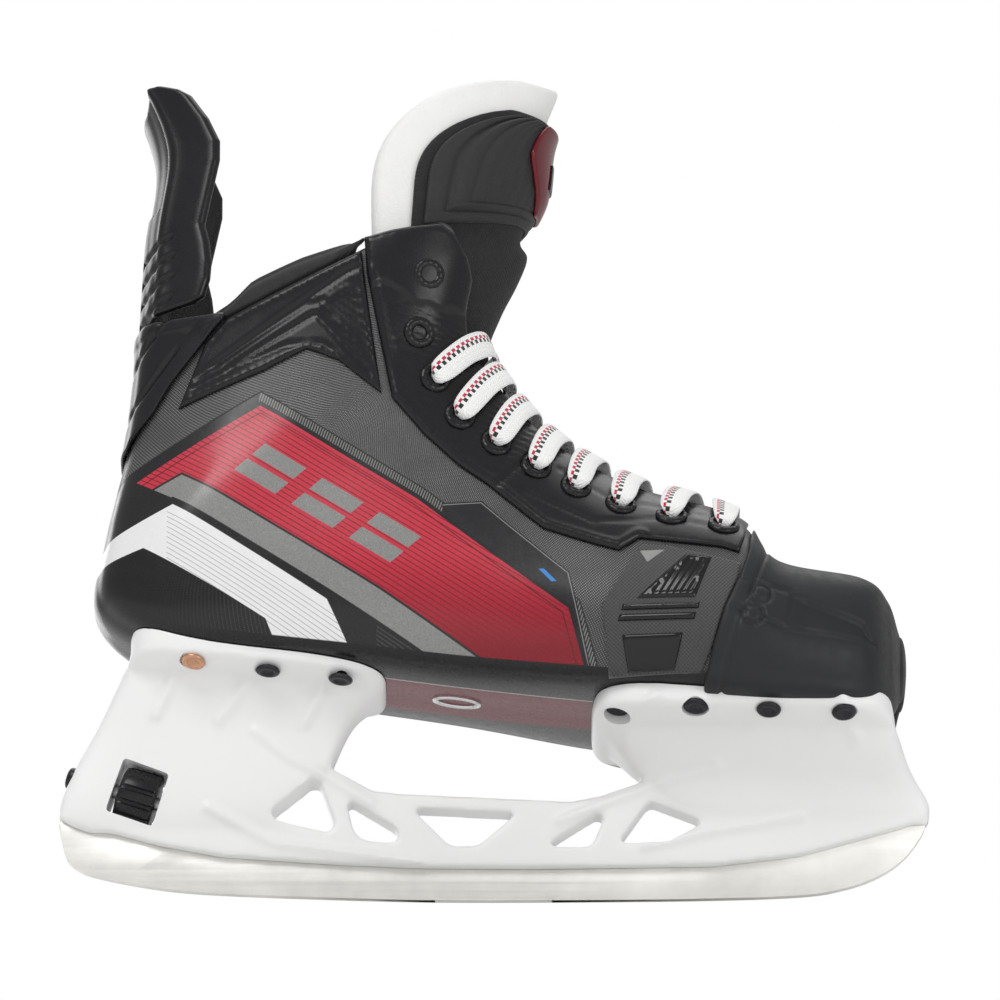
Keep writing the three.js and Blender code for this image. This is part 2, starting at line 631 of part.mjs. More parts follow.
// Each row of a tower: z, rear x, front x, half width and slope.
const REAR_TOWER = [
  [24, -138, -66, 5, 0], [28, -147, -63, 6.6, 0], [34, -148.4, -60, 7.9, 0],
  [48, -142.8, -55, 8.4, 0], [60, -136.5, -50, 9.5, 0], [69, -131, -46, 12, -0.06],
  [75, -127.5, -41, 14.5, -0.1], [76.8, -126, -38.5, 20.5, -0.1], [79, -125, -37, 26, -0.1],
  [81.5, -124.5, -36.5, 27.2, -0.1], [88, -124.5, -36.5, 27.2, -0.1],
];
const FRONT_TOWER = [
  [27, 76, 148.8, 4.6, 0], [34, 60, 149.2, 7.2, 0], [42, 52, 145, 8.4, 0], [48, 46, 142, 12, 0],
  [55, 40, 139.5, 20, 0], [57, 37, 138.3, 28, 0], [59, 34.5, 137.6, 35, -0.01],
  [61.5, 33.5, 137.4, 37, -0.02], [67, 34.5, 136.5, 36.5, -0.02],
];
const BEAM = [
  [-149, 29.5], [-147, 28.4], [-114, 19.3], [-93, 15.3], [-53, 12.5], [-25, 11.3], [8, 11],
  [75, 11.9], [105, 15.5], [140, 25.7], [148.5, 30], [147, 36], [60, 44], [50.5, 41.8],
  [36.7, 36.8], [26.4, 34.8], [-32, 37.6], [-41.6, 38.8], [-56.4, 47.3], [-140, 47],
];
const TRUSS = [
  [[-76, 31], [-62, 42.5], [-59.5, 41.8], [-54.5, 27], [-56, 23.6], [-75, 28]],
  [[-50.5, 36], [-33, 25], [-32.6, 20.6], [-36, 19.8], [-45, 21], [-48, 24.5]],
  [[-28, 32.5], [8, 30.5], [-5.4, 18.8], [-15.1, 18.8]],
  [[17.4, 18.6], [35.5, 30.6], [38, 29], [33.4, 18.4]],
  [[42.8, 19.8], [53.2, 35], [72, 27.5], [60, 20]],
];

// The dial and the lock bolt lie on one axis that slopes down towards the front.
const TILT = THREE.MathUtils.degToRad(18);
const DIAL_AT = new THREE.Vector3(-121.9, 0, 37);
const BOLT = new THREE.Vector3(Math.cos(TILT), 0, -Math.sin(TILT));
const DROP = new THREE.Vector3(-Math.sin(TILT), 0, -Math.cos(TILT)); // the way the runner leaves
const DIAL_RADIUS = 10;
const BOLT_RADIUS = 2.5;
const HEAD_RADIUS = 4.8;
const TRAVEL = 3; // how far the bolt moves to unlock
const HEAD_LENGTH = 13; // of the bolt's forked head
// The point s along the bolt's axis and h above it, as [x, z].
const onBolt = (s, h) => [
  DIAL_AT.x + s * BOLT.x - h * DROP.x,
  DIAL_AT.z + s * BOLT.z - h * DROP.z,
];

const STEEL_HALF = 1.45; // half the runner's thickness
const ROCKER = [
  [-148.9, 27.6], [-146.4, 16], [-142.9, 11.8], [-135, 8.4], [-114, 4.3], [-93, 2.4], [-53, 0.8],
  [-20, 0], [20, 0], [71, 0.5], [105, 1.8], [120, 4.3], [131.3, 8.5], [140.2, 14.9], [146.7, 23.9],
  [148.1, 30.4],
];
const POST_RISE = 14;
// The upper edge of the steel, moved out by c, from the toe to the heel.
function steelTop(c) {
  const lean = POST_RISE * Math.tan(TILT);
  const top = 22 + POST_RISE + c;
  return [
    [147.6 + c, 31.5 + c], [140, 31 + c], [106 + c, 22 + c], [106 + c + lean, top],
    [96 - c + lean, top], [96 - c, 21 + c], [75, 16.8 + c], [8, 15.7 + c], [-53, 17 + c],
    [-86, 20 + c], onBolt(28.6 + c, -7 + c), onBolt(28.6 + c, 4.4 + c), onBolt(16.4 - c, 4.4 + c),
    onBolt(16.4 - c, -12 + c), [-118, 24.2 + c], [-146, 31 + c],
  ];
}
const NOTCH = [onBolt(19.1, -1.9), onBolt(25.9, -1.9), onBolt(25.9, 9), onBolt(19.1, 9)];
const SLOT = [...steelTop(0.4), [-170, 36], [-170, -40], [147, -40], [149, 28]];

let holder = prism(BEAM, -5, 5)
  .add(loft(REAR_TOWER.map((r) => blockRing(...r))))
  .add(loft(FRONT_TOWER.map((r) => blockRing(...r))))
  .subtract(form(GAP, 0, 9))
  .subtract(oval(18, 11, -12, 12))
  .subtract(prism(SLOT, -STEEL_HALF - GAP, STEEL_HALF + GAP))
  .subtract(rod(DIAL_RADIUS + 0.4, -7.2, 7.2, DIAL_AT, BOLT, 24))
  .subtract(rod(BOLT_RADIUS + 0.4, -30, 14, DIAL_AT, BOLT))
  .subtract(rod(4.3, -32, -16.2, DIAL_AT, BOLT))
  .subtract(rod(HEAD_RADIUS + 0.4, 11, 11.5 + HEAD_LENGTH + TRAVEL + 0.7, DIAL_AT, BOLT));
holder = cutAll(holder, TRUSS.map((window) => prism(window, -20, 20)));
holder = cutAll(holder, rivetHoles);
holder = cutAll(holder, rivets.map((r) => rod(4.5, FLANGE, 18, r.at, r.out, 6)));
add(chassis, "holder", holder, WHITE_PLASTIC);

const HEAD = FLANGE + GAP;
for (const r of rivets) {
  const profile = [
    [0, -2.6], [1.9, -2.6], [1.9, HEAD], [3.45, HEAD], [2.6, HEAD + 1.5], [0, HEAD + 2],
  ];
  const material = r.name.endsWith("_1") ? COPPER : BLACK_METAL; // the rearmost pair is copper
  add(chassis, r.name, turned(profile, r.at, r.out, 8), material);
}

// ---------------------------------------------------------------- quick release and runner
const DIAL_HALF = 6.6; // half its length
const GROOVES = 12;
const side = new THREE.Vector3(0, 1, 0);
let dial = rod(DIAL_RADIUS, -DIAL_HALF, DIAL_HALF, DIAL_AT, BOLT, 24)
  .subtract(rod(BOLT_RADIUS + GAP, -9, 9, DIAL_AT, BOLT));
for (let i = 0; i < GROOVES; i++) {
  const out = side.clone().applyAxisAngle(BOLT, (2 * Math.PI * i) / GROOVES);
  const at = DIAL_AT.clone().addScaledVector(out, DIAL_RADIUS + 0.4);
  dial = dial.subtract(rod(1.2, -4.6, 8, at, BOLT, 6));
}
add(chassis, "thumb_dial", dial, GLOSS_BLACK);

// The bolt's forked head straddles the runner's rear post, and its cross pin lies in the notch.
const FORK = [onBolt(13, -9), onBolt(30, -9), onBolt(30, 9), onBolt(13, 9)];
const head = rod(HEAD_RADIUS, 11.5, 11.5 + HEAD_LENGTH, DIAL_AT, BOLT)
  .subtract(prism(FORK, -STEEL_HALF - 0.45, STEEL_HALF + 0.45));
const pin = rod(1.5, -3.5, 3.5, DIAL_AT.clone().addScaledVector(BOLT, 21), side, 12);
const shank = rod(BOLT_RADIUS, -19.2, 12, DIAL_AT, BOLT);
add(chassis, "lock_bolt", shank.add(head).add(pin), STEEL);
add(chassis, "release_button", rod(3.9, -25.6, -19.5, DIAL_AT, BOLT), BLACK_METAL);

const blade = prism([...ROCKER, ...steelTop(0)], -STEEL_HALF, STEEL_HALF).subtract(prism(NOTCH, -3, 3));
add(chassis, "runner", blade, STEEL);

export default root;
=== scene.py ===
"""The visual model of the ice hockey skate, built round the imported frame.

Lengths in this script are millimetres until a mesh is made: mesh_from() turns them into metres.
The boot's form is a closed section that moves along numbered stations, from the toe tip (0) over the
foot to the collar (12) and on up (15). A place runs round each section: 0 is the sole line, 1 to 5 run
up the outer side, 6 is the top, and 7 to 11 run down the inner side.
"""
import math
import bmesh
import bpy
import numpy as np
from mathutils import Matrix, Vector
from mathutils.bvhtree import BVHTree
from mathutils.geometry import delaunay_2d_cdt


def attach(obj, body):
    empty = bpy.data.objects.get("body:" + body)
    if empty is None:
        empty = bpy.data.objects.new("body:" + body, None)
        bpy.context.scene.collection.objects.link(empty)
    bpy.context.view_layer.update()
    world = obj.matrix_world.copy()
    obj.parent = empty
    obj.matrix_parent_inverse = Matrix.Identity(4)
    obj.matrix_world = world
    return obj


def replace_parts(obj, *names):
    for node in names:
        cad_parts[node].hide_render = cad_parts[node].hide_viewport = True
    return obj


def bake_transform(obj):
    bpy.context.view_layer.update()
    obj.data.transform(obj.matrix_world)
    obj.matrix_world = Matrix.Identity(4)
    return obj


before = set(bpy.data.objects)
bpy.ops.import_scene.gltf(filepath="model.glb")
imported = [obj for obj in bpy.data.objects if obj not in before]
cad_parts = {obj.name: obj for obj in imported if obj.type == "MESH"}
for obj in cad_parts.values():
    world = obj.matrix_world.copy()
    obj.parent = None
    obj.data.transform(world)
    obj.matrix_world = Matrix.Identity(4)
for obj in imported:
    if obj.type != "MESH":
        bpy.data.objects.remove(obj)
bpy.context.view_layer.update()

MM = 0.001
OUTER, INNER = -1, 1
SIDES = (("outer", OUTER), ("inner", INNER))


# ------------------------------------------------------------------ camera, light and floor
def make_stage():
    """The camera below the runner's level, across from the outer side; soft lights; a pale floor that
    is clear from below."""
    scene = bpy.context.scene
    camera = bpy.data.objects.new("camera", bpy.data.cameras.new("camera"))
    scene.collection.objects.link(camera)
    scene.camera = camera
    camera.data.sensor_width = 36
    away, below = 6.0, math.radians(20)  # metres; the camera looks up at the skate
    width_seen = 0.3448  # metres across the picture
    camera.data.lens = 36 * away / width_seen
    target = Vector((0.00224, 0, 0.1461))
    camera.location = target + away * Vector((0, -math.cos(below), -math.sin(below)))
    camera.rotation_euler = (math.pi / 2 + below, 0, 0)
    camera.data.clip_end = 20

    # The backdrop is full white to look at, and lights the skate at half that strength.
    world = bpy.data.worlds.new("studio")
    world.use_nodes = True
    sky = world.node_tree
    backdrop = sky.nodes["Background"]
    backdrop.inputs["Color"].default_value = (1, 1, 1, 1)
    behind = sky.nodes.new("ShaderNodeLightPath")
    dimmer = sky.nodes.new("ShaderNodeMapRange")
    dimmer.inputs["To Min"].default_value, dimmer.inputs["To Max"].default_value = 0.5, 1.0
    sky.links.new(behind.outputs["Is Camera Ray"], dimmer.inputs["Value"])
    sky.links.new(dimmer.outputs[0], backdrop.inputs["Strength"])
    scene.world = world
    scene.view_settings.view_transform = "Standard"
    lamps = [
        ("key", (-0.5, -1.2, 1.1), 0.7, 9), ("fill", (0.9, -1.1, 0.1), 0.6, 4.5),
        ("top", (0.1, 0.3, 1.4), 1.2, 7), ("under", (0, -0.9, -0.7), 0.9, 2.5),
        ("back", (-0.6, 1.3, 0.6), 1.0, 4),
    ]
    for name, place, size, watts in lamps:
        lamp = bpy.data.objects.new(name, bpy.data.lights.new(name, "AREA"))
        lamp.data.size = size
        lamp.data.energy = watts
        lamp.location = place
        lamp.rotation_euler = (Vector((0, 0, 0.14)) - Vector(place)).to_track_quat("-Z", "Y").to_euler()
        scene.collection.objects.link(lamp)

    bpy.ops.mesh.primitive_plane_add(size=8, location=(0, 0, 0))
    floor = bpy.context.object
    floor.name = "floor"
    material = bpy.data.materials.new("floor")
    material.use_nodes = True
    tree = material.node_tree
    tree.nodes.clear()
    out = tree.nodes.new("ShaderNodeOutputMaterial")
    mix = tree.nodes.new("ShaderNodeMixShader")
    pale = tree.nodes.new("ShaderNodeBsdfDiffuse")
    pale.inputs["Color"].default_value = (0.9, 0.9, 0.9, 1)
    clear = tree.nodes.new("ShaderNodeBsdfTransparent")
    geometry = tree.nodes.new("ShaderNodeNewGeometry")
    tree.links.new(geometry.outputs["Backfacing"], mix.inputs[0])
    tree.links.new(pale.outputs[0], mix.inputs[1])
    tree.links.new(clear.outputs[0], mix.inputs[2])
    tree.links.new(mix.outputs[0], out.inputs["Surface"])
    floor.data.materials.append(material)


# ------------------------------------------------------------------ the boot's form
# Each station: sole point, top point, five (height share, half width) pairs, sideways skew.
STATIONS = [
    ((137.4, 74), (137.4, 94), ((0.04, 5), (0.2, 10), (0.5, 12), (0.8, 9), (0.96, 4)), 5),
    ((135.2, 66), (134.4, 105.5), ((0.01, 17), (0.14, 24), (0.45, 26.5), (0.82, 21), (0.96, 10)), 5),
    ((127.0, 62.5), (126.0, 111), ((0.01, 31), (0.13, 38), (0.42, 40), (0.82, 33), (0.965, 17)), 4),
    ((106.0, 62), (97.0, 117), ((0.01, 36), (0.14, 44.5), (0.42, 47), (0.8, 39), (0.96, 20)), 3.5),
    ((78.0, 63.5), (84.0, 135.5), ((0.01, 37), (0.14, 46), (0.4, 49), (0.75, 40), (0.95, 20)), 2.5),
    ((36.0, 67), (48.0, 149.5), ((0.01, 35), (0.11, 43), (0.38, 46), (0.72, 37), (0.94, 18)), 3),
    ((-10.0, 72), (22.0, 166), ((0.01, 27), (0.09, 36), (0.36, 41), (0.72, 35), (0.935, 19)), 1),
    ((-62.0, 79), (6.0, 188), ((0.01, 26), (0.08, 34), (0.33, 39), (0.7, 36), (0.925, 21)), 0),
    ((-112.0, 85), (2.0, 203), ((0.01, 20), (0.07, 31), (0.32, 37), (0.74, 36.5), (0.915, 23)), 0),
    ((-136.0, 101), (2.0, 213), ((0.01, 13), (0.07, 26), (0.3, 36), (0.74, 37), (0.915, 25)), 0),
    ((-134.0, 127), (3.0, 222), ((0.01, 12.5), (0.07, 24.5), (0.34, 35.5), (0.74, 38), (0.92, 27)), 0),
    ((-125.5, 165), (4.0, 231), ((0.01, 12), (0.07, 23.5), (0.36, 35.5), (0.74, 39.5), (0.925, 28)), 0),
    ((-122.0, 196), (5.0, 240), ((0.01, 12), (0.07, 24), (0.36, 37), (0.72, 41), (0.925, 29)), 0),
    ((-119.5, 236), (14.5, 256), ((0.01, 12), (0.08, 25), (0.36, 38), (0.7, 40), (0.93, 29)), 0),
    ((-116.5, 268), (21.0, 276), ((0.01, 12), (0.08, 25), (0.36, 38), (0.7, 39), (0.93, 28)), 0),
    ((-127.0, 300), (20.5, 297), ((0.01, 11), (0.08, 24), (0.36, 37), (0.7, 38), (0.93, 27)), 0),
]
# One row per station: sole x, sole z, top x, top z, five shares, five half widths, skew.
ROWS = np.array([[*sole, *top, *[a for a, _ in side], *[b for _, b in side], skew]
                 for sole, top, side, skew in STATIONS], float)
LEAST_WIDTH = 1.5 + 0.4 * np.arange(5)


def catmull_rom(a, b, c, d, t):
    """From b to c as t goes from 0 to 1, on the smooth line through a, b, c and d."""
    square, cube = (2 * a - 5 * b + 4 * c - d) * t**2, (3 * b - a - 3 * c + d) * t**3
    return 0.5 * (2 * b + (c - a) * t + square + cube)


def through(values, s):
    """Catmull-Rom through evenly spaced rows, held straight past both ends."""
    values = np.asarray(values, float)
    s = np.asarray(s, float)
    last = len(values) - 1
    padded = np.concatenate([[2 * values[0] - values[1]], values, [2 * values[-1] - values[-2]]])
    i = np.clip(np.floor(s).astype(int), 0, last - 1)
    t = (s - i).reshape(s.shape + (1,) * (values.ndim - 1))
    a, b, c, d = (padded[i + k] for k in range(4))
    return np.where(t > 1, c + (t - 1) * (c - b), catmull_rom(a, b, c, d, t))


def form(s, k, grow=0.0):
    """Points of the boot's form at stations s and places k, offset outwards by grow: arrays of one shape."""
    s, k, grow = (np.asarray(v, float) for v in np.broadcast_arrays(s, k, grow))
    row = through(ROWS, s)
    sole, top = row[..., 0:2].copy(), row[..., 2:4].copy()
    up = (top - sole) / np.linalg.norm(top - sole, axis=-1, keepdims=True)
    reach = grow * np.maximum(0, 1 - s / 3) ** 2
    sole -= grow[..., None] * up
    top += grow[..., None] * up
    sole[..., 0] += reach
    top[..., 0] += reach
    shares, widths = row[..., 4:9], np.maximum(row[..., 9:14] + grow[..., None], LEAST_WIDTH)
    zero, one = np.zeros(s.shape + (1,)), np.ones(s.shape + (1,))
    a = np.concatenate([zero, shares, one, shares[..., ::-1]], axis=-1)
    b = np.concatenate([zero, -widths, zero, widths[..., ::-1]], axis=-1)
    near = np.floor(k).astype(int)
    t = k - near
    picks = [((near + d) % 12)[..., None] for d in (-1, 0, 1, 2)]

    def mix(values):
        return catmull_rom(*(np.take_along_axis(values, pick, axis=-1)[..., 0] for pick in picks), t)

    share, width = mix(a), mix(b)
    x = sole[..., 0] + (top[..., 0] - sole[..., 0]) * share
    z = sole[..., 1] + (top[..., 1] - sole[..., 1]) * share
    return np.stack([x, width + row[..., 14], z], axis=-1)


def unit(v):
    return v / np.maximum(np.linalg.norm(v, axis=-1, keepdims=True), 1e-9)


def outward(s, k, grow=0.0):
    """The direction out of the form there."""
    step = 0.05
    s, k = np.asarray(s, float), np.asarray(k, float)
    along = form(s + step, k, grow) - form(s - step, k, grow)
    round_ = form(s, k + step, grow) - form(s, k - step, grow)
    out = unit(np.cross(along, round_))
    growing = form(s, k, np.asarray(grow) + 1.0) - form(s, k, np.asarray(grow) - 1.0)
    return out * np.sign(np.sum(out * growing, axis=-1, keepdims=True))


def across(place, side):
    """A place given on the outer side, or its mirror on the inner side."""
    return place if side == OUTER else 12 - place


# ------------------------------------------------------------------ meshes
def mesh_from(name, points, faces, material, body="root", uv=None, slot=None):
    """A mesh piece from points in millimetres. uv, in millimetres, is one pair for each point."""
    mesh = bpy.data.meshes.new(name)
    mesh.from_pydata((np.asarray(points, float) * MM).tolist(), [], [list(map(int, f)) for f in faces])
    mesh.update()
    if uv is not None:
        layer = mesh.uv_layers.new(name="flat")
        corners = np.empty(len(mesh.loops), int)
        mesh.loops.foreach_get("vertex_index", corners)
        layer.data.foreach_set("uv", (np.asarray(uv, float)[corners] * MM).ravel())
    mesh.materials.append(material)
    piece = bpy.data.objects.new(name, mesh)
    bpy.context.scene.collection.objects.link(piece)
    fix_normals(piece)
    mesh.shade_smooth()
    if body:
        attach(piece, body)
    return piece


def fix_normals(piece):
    bm = bmesh.new()
    bm.from_mesh(piece.data)
    bmesh.ops.remove_doubles(bm, verts=bm.verts, dist=1e-6)
    bmesh.ops.recalc_face_normals(bm, faces=bm.faces)
    bm.to_mesh(piece.data)
    bm.free()


def grid_faces(rows, columns, closed=False, offset=0):
    """Quads over a grid of rows by columns points; closed joins the last column to the first."""
    wide = columns if closed else columns - 1
    r, c = np.meshgrid(np.arange(rows - 1), np.arange(wide), indexing="ij")
    a = r * columns + c
    b = r * columns + (c + 1) % columns
    return np.stack([a, b, b + columns, a + columns], axis=-1).reshape(-1, 4) + offset


def arc_uv(points):
    """Lengths along the rows and columns of a grid of points, as a flat map of the surface."""
    across_ = np.cumsum(np.linalg.norm(np.diff(points, axis=1, prepend=points[:, :1]), axis=-1), axis=1)
    along = np.cumsum(np.linalg.norm(np.diff(points, axis=0, prepend=points[:1]), axis=-1), axis=0)
    middle = points.shape[1] // 2
    across_ -= across_[:, middle : middle + 1]
    along = np.repeat(along[:, middle : middle + 1], points.shape[1], axis=1)
    return np.stack([across_, along], axis=-1)


def slab(name, top, bottom, material, roll=2, **options):
    """A closed sheet between two grids of points. Its four edges are rounded over by roll extra rows."""
    rows, columns, _ = top.shape
    middle = (top + bottom) / 2
    back = slice(None, None, -1)
    rim = [(0, slice(None)), (slice(None), -1), (-1, back), (back, 0)]
    points = np.concatenate([top.reshape(-1, 3), bottom.reshape(-1, 3)])
    uv = np.concatenate([arc_uv(top).reshape(-1, 2)] * 2)
    index = np.arange(rows * columns).reshape(rows, columns)
    faces = [grid_faces(rows, columns), grid_faces(rows, columns, offset=rows * columns)[:, ::-1]]
    loop = np.concatenate([index[r][:-1] for r in rim])
    swell = top - bottom
    first, right = middle[1] - middle[0], middle[:, -2] - middle[:, -1]
    last_row, left = middle[-2] - middle[-1], middle[:, 1] - middle[:, 0]
    inward = np.concatenate([first[:-1], right[:-1], last_row[::-1][:-1], left[::-1][:-1]])
    flat_top, flat_swell = top.reshape(-1, 3)[loop], swell.reshape(-1, 3)[loop]
    thick = np.linalg.norm(flat_swell, axis=-1, keepdims=True)
    previous = loop
    n = len(loop)
    for i in range(1, roll + 1):
        t = i / (roll + 1)
        bulge = np.sin(math.pi * t) * 0.45 * thick
        ring = flat_top - flat_swell * (1 - math.cos(math.pi * t)) / 2 - unit(inward) * bulge
        start = len(points)
        points = np.concatenate([points, ring])
        uv = np.concatenate([uv, uv[loop]])
        current = start + np.arange(n)
        faces.append(np.stack([previous, current, np.roll(current, -1), np.roll(previous, -1)], axis=-1))
        previous = current
    last = loop + rows * columns
    faces.append(np.stack([previous, last, np.roll(last, -1), np.roll(previous, -1)], axis=-1))
    return mesh_from(name, points, np.concatenate(faces), material, uv=uv, **options)


def ribbon(name, line, halves, normals, material, sides, **options):
    """A closed flat tube along a line of points: halves is its half width and half thickness at each
    point, and the thickness lies along the normals."""
    tangent = unit(np.gradient(line, axis=0))
    normal = unit(normals - tangent * np.sum(normals * tangent, axis=-1, keepdims=True))
    wide = np.cross(tangent, normal)
    angle = np.linspace(0, 2 * math.pi, sides, endpoint=False)
    bend = np.sign(np.cos(angle)) * np.abs(np.cos(angle)) ** 0.55
    rings = (line[:, None] + wide[:, None] * (halves[:, :1] * bend)[..., None]
             + normal[:, None] * (halves[:, 1:] * np.sin(angle))[..., None])
    length = np.concatenate([[0], np.cumsum(np.linalg.norm(np.diff(line, axis=0), axis=-1))])
    u = np.broadcast_to(np.cos(angle), (len(line), sides)) * halves[:, :1]
    uv = np.stack([u, np.broadcast_to(length[:, None], u.shape)], axis=-1)
    points, uv = rings.reshape(-1, 3), uv.reshape(-1, 2)
    faces = grid_faces(len(line), sides, closed=True).tolist()
    faces += [list(range(sides))[::-1], [len(points) - sides + i for i in range(sides)]]
    return mesh_from(name, points, faces, material, uv=uv, **options)


def turned(profile, centre, axis, sides=40):
    """Points and faces of a piece turned about axis, from (radius, height) pairs."""
    axis = unit(np.asarray(axis, float))
    side = unit(np.cross(axis, [0.0, 0.0, 1.0] if abs(axis[2]) < 0.9 else [1.0, 0.0, 0.0]))
    angle = np.linspace(0, 2 * math.pi, sides, endpoint=False)
    circle = np.cos(angle)[:, None] * side + np.sin(angle)[:, None] * np.cross(axis, side)
    rings = [np.asarray(centre) + h * axis + r * circle for r, h in profile]
    return np.concatenate(rings), grid_faces(len(profile), sides, closed=True)


def smooth_line(points, count):
    """count points evenly along a smooth line through points."""
    points = np.asarray(points, float)
    fine = through(points, np.linspace(0, len(points) - 1, 40 * len(points)))
    length = np.concatenate([[0], np.cumsum(np.linalg.norm(np.diff(fine, axis=0), axis=-1))])
    marks = np.linspace(0, length[-1], count)
    return np.stack([np.interp(marks, length, fine[:, k]) for k in range(points.shape[1])], axis=-1)


# ------------------------------------------------------------------ materials
class Shader:
    """A material's node tree, with short calls for the nodes used here."""

    def __init__(self, name):
        self.material = bpy.data.materials.new(name)
        self.material.use_nodes = True
        self.tree = self.material.node_tree
        self.bsdf = self.tree.nodes["Principled BSDF"]

    def node(self, kind, **values):
        node = self.tree.nodes.new(kind)
        for key, value in values.items():
            setattr(node, key, value)
        return node

    def plug(self, value, socket):
        if isinstance(value, bpy.types.NodeSocket):
            self.tree.links.new(value, socket)
        else:
            socket.default_value = value

    def math(self, operation, a, b=0.0):
        node = self.node("ShaderNodeMath", operation=operation)
        self.plug(a, node.inputs[0])
        self.plug(b, node.inputs[1])
        return node.outputs[0]

    def plus(self, a, b):
        return self.math("ADD", a, b)

    def minus(self, a, b):
        return self.math("SUBTRACT", a, b)

    def times(self, a, b, *more):
        """The product of two or more values."""
        return self.times(self.math("MULTIPLY", a, b), *more) if more else self.math("MULTIPLY", a, b)

    def over(self, value, limit):
        """1 where value is greater than limit."""
        return self.math("GREATER_THAN", value, limit)

    def under(self, value, limit):
        """1 where value is less than limit."""
        return self.math("LESS_THAN", value, limit)

    def off(self, value, middle):
        """How far value is from middle."""
        return self.math("ABSOLUTE", self.minus(value, middle))

    def split(self, vector):
        node = self.node("ShaderNodeSeparateXYZ")
        self.plug(vector, node.inputs[0])
        return node.outputs[0], node.outputs[1], node.outputs[2]

    def place(self):
        """Where the point is on the object, in metres."""
        return self.node("ShaderNodeTexCoord").outputs["Object"]

    def flat(self):
        """The flat map of the surface, in metres."""
        return self.node("ShaderNodeUVMap", uv_map="flat").outputs[0]

    def noise(self, scale, detail=4, rough=0.6, vector=None):
        node = self.node("ShaderNodeTexNoise")
        self.plug(vector or self.place(), node.inputs["Vector"])
        node.inputs["Scale"].default_value = scale
        node.inputs["Detail"].default_value = detail
        node.inputs["Roughness"].default_value = rough
        return node.outputs["Fac"]

    def half(self, angle):
        """A sine from 0 to 1."""
        return self.plus(self.times(self.math("SINE", angle), 0.5), 0.5)

    def ramp(self, value, low, high, start=0.0, end=1.0):
        node = self.node("ShaderNodeMapRange")
        self.plug(value, node.inputs[0])
        for socket, number in zip(node.inputs[1:5], (low, high, start, end)):
            socket.default_value = number
        return node.outputs[0]

    def mix(self, share, a, b):
        node = self.node("ShaderNodeMix", data_type="RGBA")
        self.plug(share, node.inputs[0])
        self.plug(a, node.inputs[6])
        self.plug(b, node.inputs[7])
        return node.outputs[2]

    def colour(self, value):
        self.plug(value, self.bsdf.inputs["Base Color"])

    def rough(self, value):
        self.plug(value, self.bsdf.inputs["Roughness"])

    def bump(self, height, distance, strength=1.0):
        node = self.node("ShaderNodeBump")
        node.inputs["Strength"].default_value = strength
        node.inputs["Distance"].default_value = distance
        self.plug(height, node.inputs["Height"])
        self.tree.links.new(node.outputs[0], self.bsdf.inputs["Normal"])

    def set(self, **values):
        for key, value in values.items():
            self.bsdf.inputs[key.replace("_", " ")].default_value = value

    def weave(self, vector, pitch):
        """Height of a plain weave over a flat map."""
        u, v, _ = self.split(vector)
        checks = self.times(self.math("SINE", self.times(u, 2 * math.pi / pitch)),
                           self.math("SINE", self.times(v, 2 * math.pi / pitch)))
        return self.plus(self.times(checks, 0.5), 0.5)

    def lines(self, value, pitch, share):
        """1 on a thin line in every pitch, where share is the line's part of it."""
        part = self.math("FRACT", self.math("DIVIDE", value, pitch))
        return self.under(part, share)


def plastic(name, colour, rough, grain=0.15, grain_size=900, coat=0.0, spread=0.15):
    """Moulded plastic: fine grain, uneven gloss and a slight change of shade over its length."""
    s = Shader(name)
    wide = s.noise(18, 3)
    darker = tuple(c * (1 - spread) for c in colour[:3]) + (1,)
    s.colour(s.mix(wide, darker, colour))
    scuffs = s.noise(260, 6, 0.7)
    s.rough(s.ramp(scuffs, 0.3, 0.75, rough * 0.85, min(1, rough * 1.25)))
    s.bump(s.noise(grain_size, 2), 0.0001, grain)
    s.set(Coat_Weight=coat, Coat_Roughness=0.12, Specular_IOR_Level=0.35)
    return s.material


def metal(name, colour, rough):
    """Metal with fine grinding marks along its length."""
    s = Shader(name)
    x, y, z = s.split(s.place())
    mapped = s.node("ShaderNodeCombineXYZ")
    s.plug(s.times(x, 6), mapped.inputs[0])
    s.plug(s.times(z, 900), mapped.inputs[1])
    s.plug(s.times(y, 200), mapped.inputs[2])
    marks = s.noise(1, 5, 0.7, mapped.outputs[0])
    stains = s.noise(30, 5, 0.65)
    worn = tuple(c * 0.84 for c in colour[:3]) + (1,)
    s.colour(s.mix(s.ramp(stains, 0.35, 0.7), worn, colour))
    s.rough(s.ramp(marks, 0.2, 0.8, rough * 0.7, rough * 1.5))
    s.bump(marks, 0.00006, 0.35)
    s.set(Metallic=1.0)
    return s.material


def cloth(name, colour, pitch, rough=0.85, fuzz=0.3, depth=0.0003, flat=True, contrast=0.5):
    """Woven cloth: threads over and under at the given pitch, with some fuzz."""
    s = Shader(name)
    height = s.weave(s.flat(), pitch) if flat else s.weave(s.place(), pitch)
    uneven = s.noise(350, 5, 0.7)
    dark = tuple(c * (1 - contrast) for c in colour[:3]) + (1,)
    s.colour(s.mix(s.plus(s.times(height, 0.7), s.times(uneven, 0.3)), dark, colour))
    s.rough(s.ramp(uneven, 0.3, 0.7, rough * 0.9, min(1, rough * 1.1)))
    s.bump(s.plus(height, s.times(uneven, 0.8)), depth, 0.6)
    s.set(Sheen_Weight=fuzz, Sheen_Roughness=0.5)
    return s.material


def felt(name, colour):
    """Thick pressed felt: matted fibres, no weave."""
    s = Shader(name)
    fibres = s.noise(900, 8, 0.75)
    lumps = s.noise(120, 4, 0.6)
    dark = tuple(c * 0.86 for c in colour[:3]) + (1,)
    s.colour(s.mix(s.plus(s.times(fibres, 0.6), s.times(lumps, 0.4)), dark, colour))
    s.rough(0.95)
    s.bump(s.plus(fibres, s.times(lumps, 2)), 0.0005, 0.55)
    s.set(Sheen_Weight=0.25, Sheen_Roughness=0.6)
    return s.material


